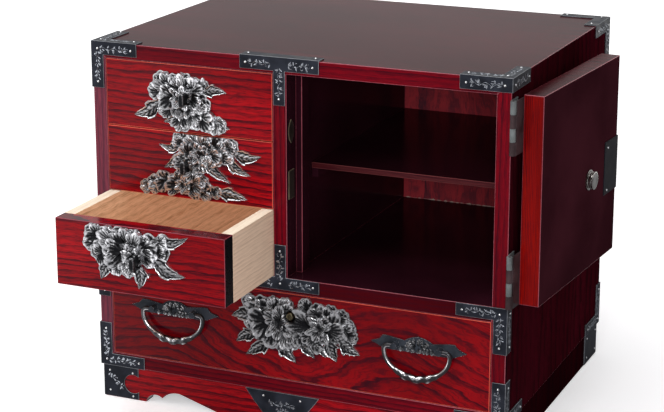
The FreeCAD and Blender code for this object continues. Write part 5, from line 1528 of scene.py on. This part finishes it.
def sized(shares, reach, radius):
    """A turned piece's profile out of its shares."""
    return np.array(shares) * (reach, radius)


class CHEST_OT_locks(Dress):
    """Turned and small pieces: keyhole ring, lock case and the door's ringed ferrule"""

    bl_idname = "chest.locks"
    bl_label = "Lock pieces"

    def execute(self, context):
        iron = self.iron
        low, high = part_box("wide_drawer_keyhole")
        middle = np.array(((low.x + high.x) / 2, high.y, (low.z + high.z) / 2))
        profile = sized(KEYHOLE_PROFILE_SHARES, (high.y - low.y) * KEYHOLE_REACH_SHARE,
                        (high.x - low.x) / 2)
        brass = cast_iron("keyhole_brass", iron.brass, KEYHOLE_BLACK)
        ring = Surfaces()
        lathe(ring, middle, OUT, profile, np.array(KEYHOLE_TONES)[:, None])
        piece_from(ring, "keyhole_ring", brass, "wide_drawer", ["wide_drawer_keyhole"])
        self.lock_screws()
        softened_copy("wide_drawer_lock", sheet_metal("sheet_iron", iron.sheet),
                      iron.sheet_edge)
        self.ferrule()
        return {"FINISHED"}

    def lock_screws(self):
        """Two small domed screws on the door's lock plate."""
        low, high = (np.array(corner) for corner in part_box("door_lock_plate"))
        axis = -OUT_OF_DOOR
        steel = cast_iron("screw_steel", SCREW_BRIGHT, SCREW_BLACK)
        screws = Surfaces()
        for share in (0.10, 0.90):
            middle = np.array(((low[0] + high[0]) / 2, low[1] + SCREW_FROM_EDGE,
                               low[2] + share * (high[2] - low[2])))
            face = middle + axis * (high[0] - low[0]) / 2
            lathe(screws, face - axis * SCREW_SUNK, axis, SCREW_PROFILE, segments=12)
        piece_from(screws, "lock_screws", steel, "door")

    def ferrule(self):
        """The bright ringed ferrule on the door's inner face."""
        low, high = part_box("door_ferrule")
        axis = -OUT_OF_DOOR
        base = (np.array(low) + np.array(high)) / 2 - axis * FERRULE_REACH / 2
        plating = sheet_metal("bright_plating", PLATING, roughness=0.16, metallic=1.0)
        turned = Surfaces()
        lathe(turned, base, axis, sized(FERRULE_PROFILE_SHARES, FERRULE_REACH, FERRULE_RADIUS),
              segments=48)
        piece_from(turned, "ferrule_turned", plating, "door", ["door_ferrule"],
                   smooth_angle=math.radians(30))


# The lamps: name, place, the point they face, size and the name of their power's setting.
LAMPS = (
    ("key_lamp", (-1.3, -1.5, 1.5), (0.2, 0.1, 0.2), 1.4, "key_power"),
    ("right_lamp", (0.75, -2.0, 0.80), (0.0, 0.0, 0.2), 0.8, "right_power"),
    ("top_lamp", (0.0, -0.5, 2.2), (0.0, -0.1, 0.0), 1.4, "top_power"),
)
# Ramps along the room and the floor: from, to, value at the first, value at the second.
BACKDROP_BY_HEIGHT = (0.16, 0.50, 1.0, 0.45)
BACKDROP_FROM, BACKDROP_TO = -0.35, 0.25
FLOOR_BY_DISTANCE = (0.45, 2.4, 0.42, 0.95)
# Painted shadow on the floor at the right: the glow is dimmed there.
FLOOR_PAINTED_SHADOW_AT_RIGHT = (0.10, 0.60, 0.0, 0.22)
LEFT_GLOW_SLANT, LEFT_GLOW_REACH = 0.45, -0.30
FILM_WIDTH = 36.0
FLOOR_SPAN, FLOOR_ROUGHNESS = 6.0, 0.5
FLOOR_LIT, FLOOR_MIRRORED, FLOOR_SEEN = (0.84, 0.84, 0.87), (0.35, 0.35, 0.36), (1, 0.98, 1)
WHITE = (1, 1, 1)


class CHEST_OT_stage(Dress):
    """Camera, lamps, pale floor and room"""

    bl_idname = "chest.stage"
    bl_label = "Stage"

    def execute(self, context):
        stage = context.scene.chest_stage
        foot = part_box("left_side_panel")[0]
        camera = bpy.data.objects.new("camera", bpy.data.cameras.new("camera"))
        context.scene.collection.objects.link(camera)
        camera.location = np.array((foot.x, foot.y, 0.0)) + np.array(stage.camera_place)
        camera.rotation_euler = (math.pi / 2 - stage.camera_dip, 0.0, stage.camera_turn)
        camera.data.sensor_width = FILM_WIDTH
        camera.data.lens = stage.lens
        camera.data.shift_y = stage.camera_shift
        context.scene.camera = camera
        for name, place, target, size, power in LAMPS:
            self.lamp(context, name, place, target, size, getattr(stage, power))
        self.room(context, stage)
        self.floor(context, stage)
        context.scene.view_settings.view_transform = "Standard"
        return {"FINISHED"}

    def lamp(self, context, name, place, target, size, power):
        """A square lamp aimed at a point."""
        data = bpy.data.lights.new(name, "AREA")
        data.energy = power
        data.size = size
        lamp = bpy.data.objects.new(name, data)
        context.scene.collection.objects.link(lamp)
        lamp.location = place
        aim = np.array(target) - np.array(place)
        turn = math.atan2(aim[0], aim[1])
        dip = math.atan2(-aim[2], np.hypot(aim[0], aim[1]))
        lamp.rotation_euler = (math.pi / 2 - dip, 0.0, -turn)

    def room(self, context, stage):
        """White to the camera and in reflections of the backdrop, dimmer on the camera's side."""
        world = bpy.data.worlds.new("room")
        context.scene.world = world
        world.use_nodes = True
        tree = world.node_tree
        path = node(tree, "ShaderNodeLightPath").outputs
        direction = node(tree, "ShaderNodeTexCoord").outputs["Generated"]
        way = node(tree, "ShaderNodeSeparateXYZ", {0: direction}).outputs
        backdrop = ramp(tree, way["Y"], BACKDROP_FROM, BACKDROP_TO, stage.front_dim, 1.0)
        backdrop = multiply(tree, backdrop, ramp(tree, way["Z"], *BACKDROP_BY_HEIGHT))
        seen = maths(tree, "MAXIMUM", path["Is Camera Ray"], path["Is Transmission Ray"])
        seen = maths(tree, "MAXIMUM", seen, multiply(tree, path["Is Glossy Ray"], backdrop))
        fill = multiply(tree, path["Is Diffuse Ray"], stage.fill)
        feed(tree, tree.nodes["Background"], {
            "Color": colour(WHITE), "Strength": maths(tree, "MAXIMUM", seen, fill)})

    def floor(self, context, stage):
        """A wide pale floor, which goes over to white for the camera and keeps the shadow.

        In reflections it is dim, but bright at the front left.
        """
        span = FLOOR_SPAN
        mesh = bpy.data.meshes.new("floor")
        mesh.from_pydata([(-span, -span, 0), (span, -span, 0), (span, span, 0), (-span, span, 0)],
                         [], [(0, 1, 2, 3)])
        floor = bpy.data.objects.new("floor", mesh)
        context.scene.collection.objects.link(floor)
        material, tree, shader, place = new_material("pale_floor")
        path = node(tree, "ShaderNodeLightPath").outputs
        seen, mirrored = path["Is Camera Ray"], path["Is Glossy Ray"]
        base = mixed(tree, mirrored, colour(FLOOR_LIT), colour(FLOOR_MIRRORED))
        distance = node(tree, "ShaderNodeVectorMath", {0: place}, operation="LENGTH").outputs["Value"]
        way = node(tree, "ShaderNodeSeparateXYZ", {0: place}).outputs
        # Painted shadow: the glow is dimmed at the right, near the chest.
        glow = subtract(tree, ramp(tree, distance, *FLOOR_BY_DISTANCE),
                        ramp(tree, way["X"], *FLOOR_PAINTED_SHADOW_AT_RIGHT))
        aside = subtract(tree, way["X"], multiply(tree, way["Y"], LEFT_GLOW_SLANT))
        left = ramp(tree, aside, 0.0, LEFT_GLOW_REACH, 0.0, stage.left_glow)
        feed(tree, shader, {
            "Base Color": mixed(tree, seen, base, colour(FLOOR_SEEN)),
            "Roughness": FLOOR_ROUGHNESS, "Specular IOR Level": 0.0, "Emission Color": colour(WHITE),
            "Emission Strength": add(tree, multiply(tree, seen, glow), multiply(tree, mirrored, left))})
        mesh.materials.append(material)


STEPS = (
    CHEST_OT_carcass, CHEST_OT_base, CHEST_OT_drawers, CHEST_OT_door, CHEST_OT_sheet_iron,
    CHEST_OT_nails, CHEST_OT_hinges, CHEST_OT_castings, CHEST_OT_handles, CHEST_OT_locks,
    CHEST_OT_stage,
)


class CHEST_PT_panel(bpy.types.Panel):
    """The chest's steps and settings in the 3D view's sidebar"""

    bl_label = "Lacquered chest"
    bl_idname = "CHEST_PT_panel"
    bl_space_type = "VIEW_3D"
    bl_region_type = "UI"
    bl_category = "Chest"

    def draw(self, context):
        layout = self.layout
        for step in STEPS:
            layout.operator(step.bl_idname)
        for group in (context.scene.chest_lacquer, context.scene.chest_iron, context.scene.chest_stage):
            box = layout.box()
            for name in group.__annotations__:
                box.prop(group, name)


CLASSES = (ChestLacquer, ChestIron, ChestStage, *STEPS, CHEST_PT_panel)


def register():
    for item in CLASSES:
        bpy.utils.register_class(item)
    bpy.types.Scene.chest_lacquer = PointerProperty(type=ChestLacquer)
    bpy.types.Scene.chest_iron = PointerProperty(type=ChestIron)
    bpy.types.Scene.chest_stage = PointerProperty(type=ChestStage)


def unregister():
    del bpy.types.Scene.chest_stage
    del bpy.types.Scene.chest_iron
    del bpy.types.Scene.chest_lacquer
    for item in reversed(CLASSES):
        bpy.utils.unregister_class(item)


def main():
    """Registers the add-on, runs its steps and writes the CAD box and the dressed box."""
    register()
    for step in STEPS:
        group, name = step.bl_idname.split(".")
        getattr(getattr(bpy.ops, group), name)()


if __name__ == "__main__":
    main()
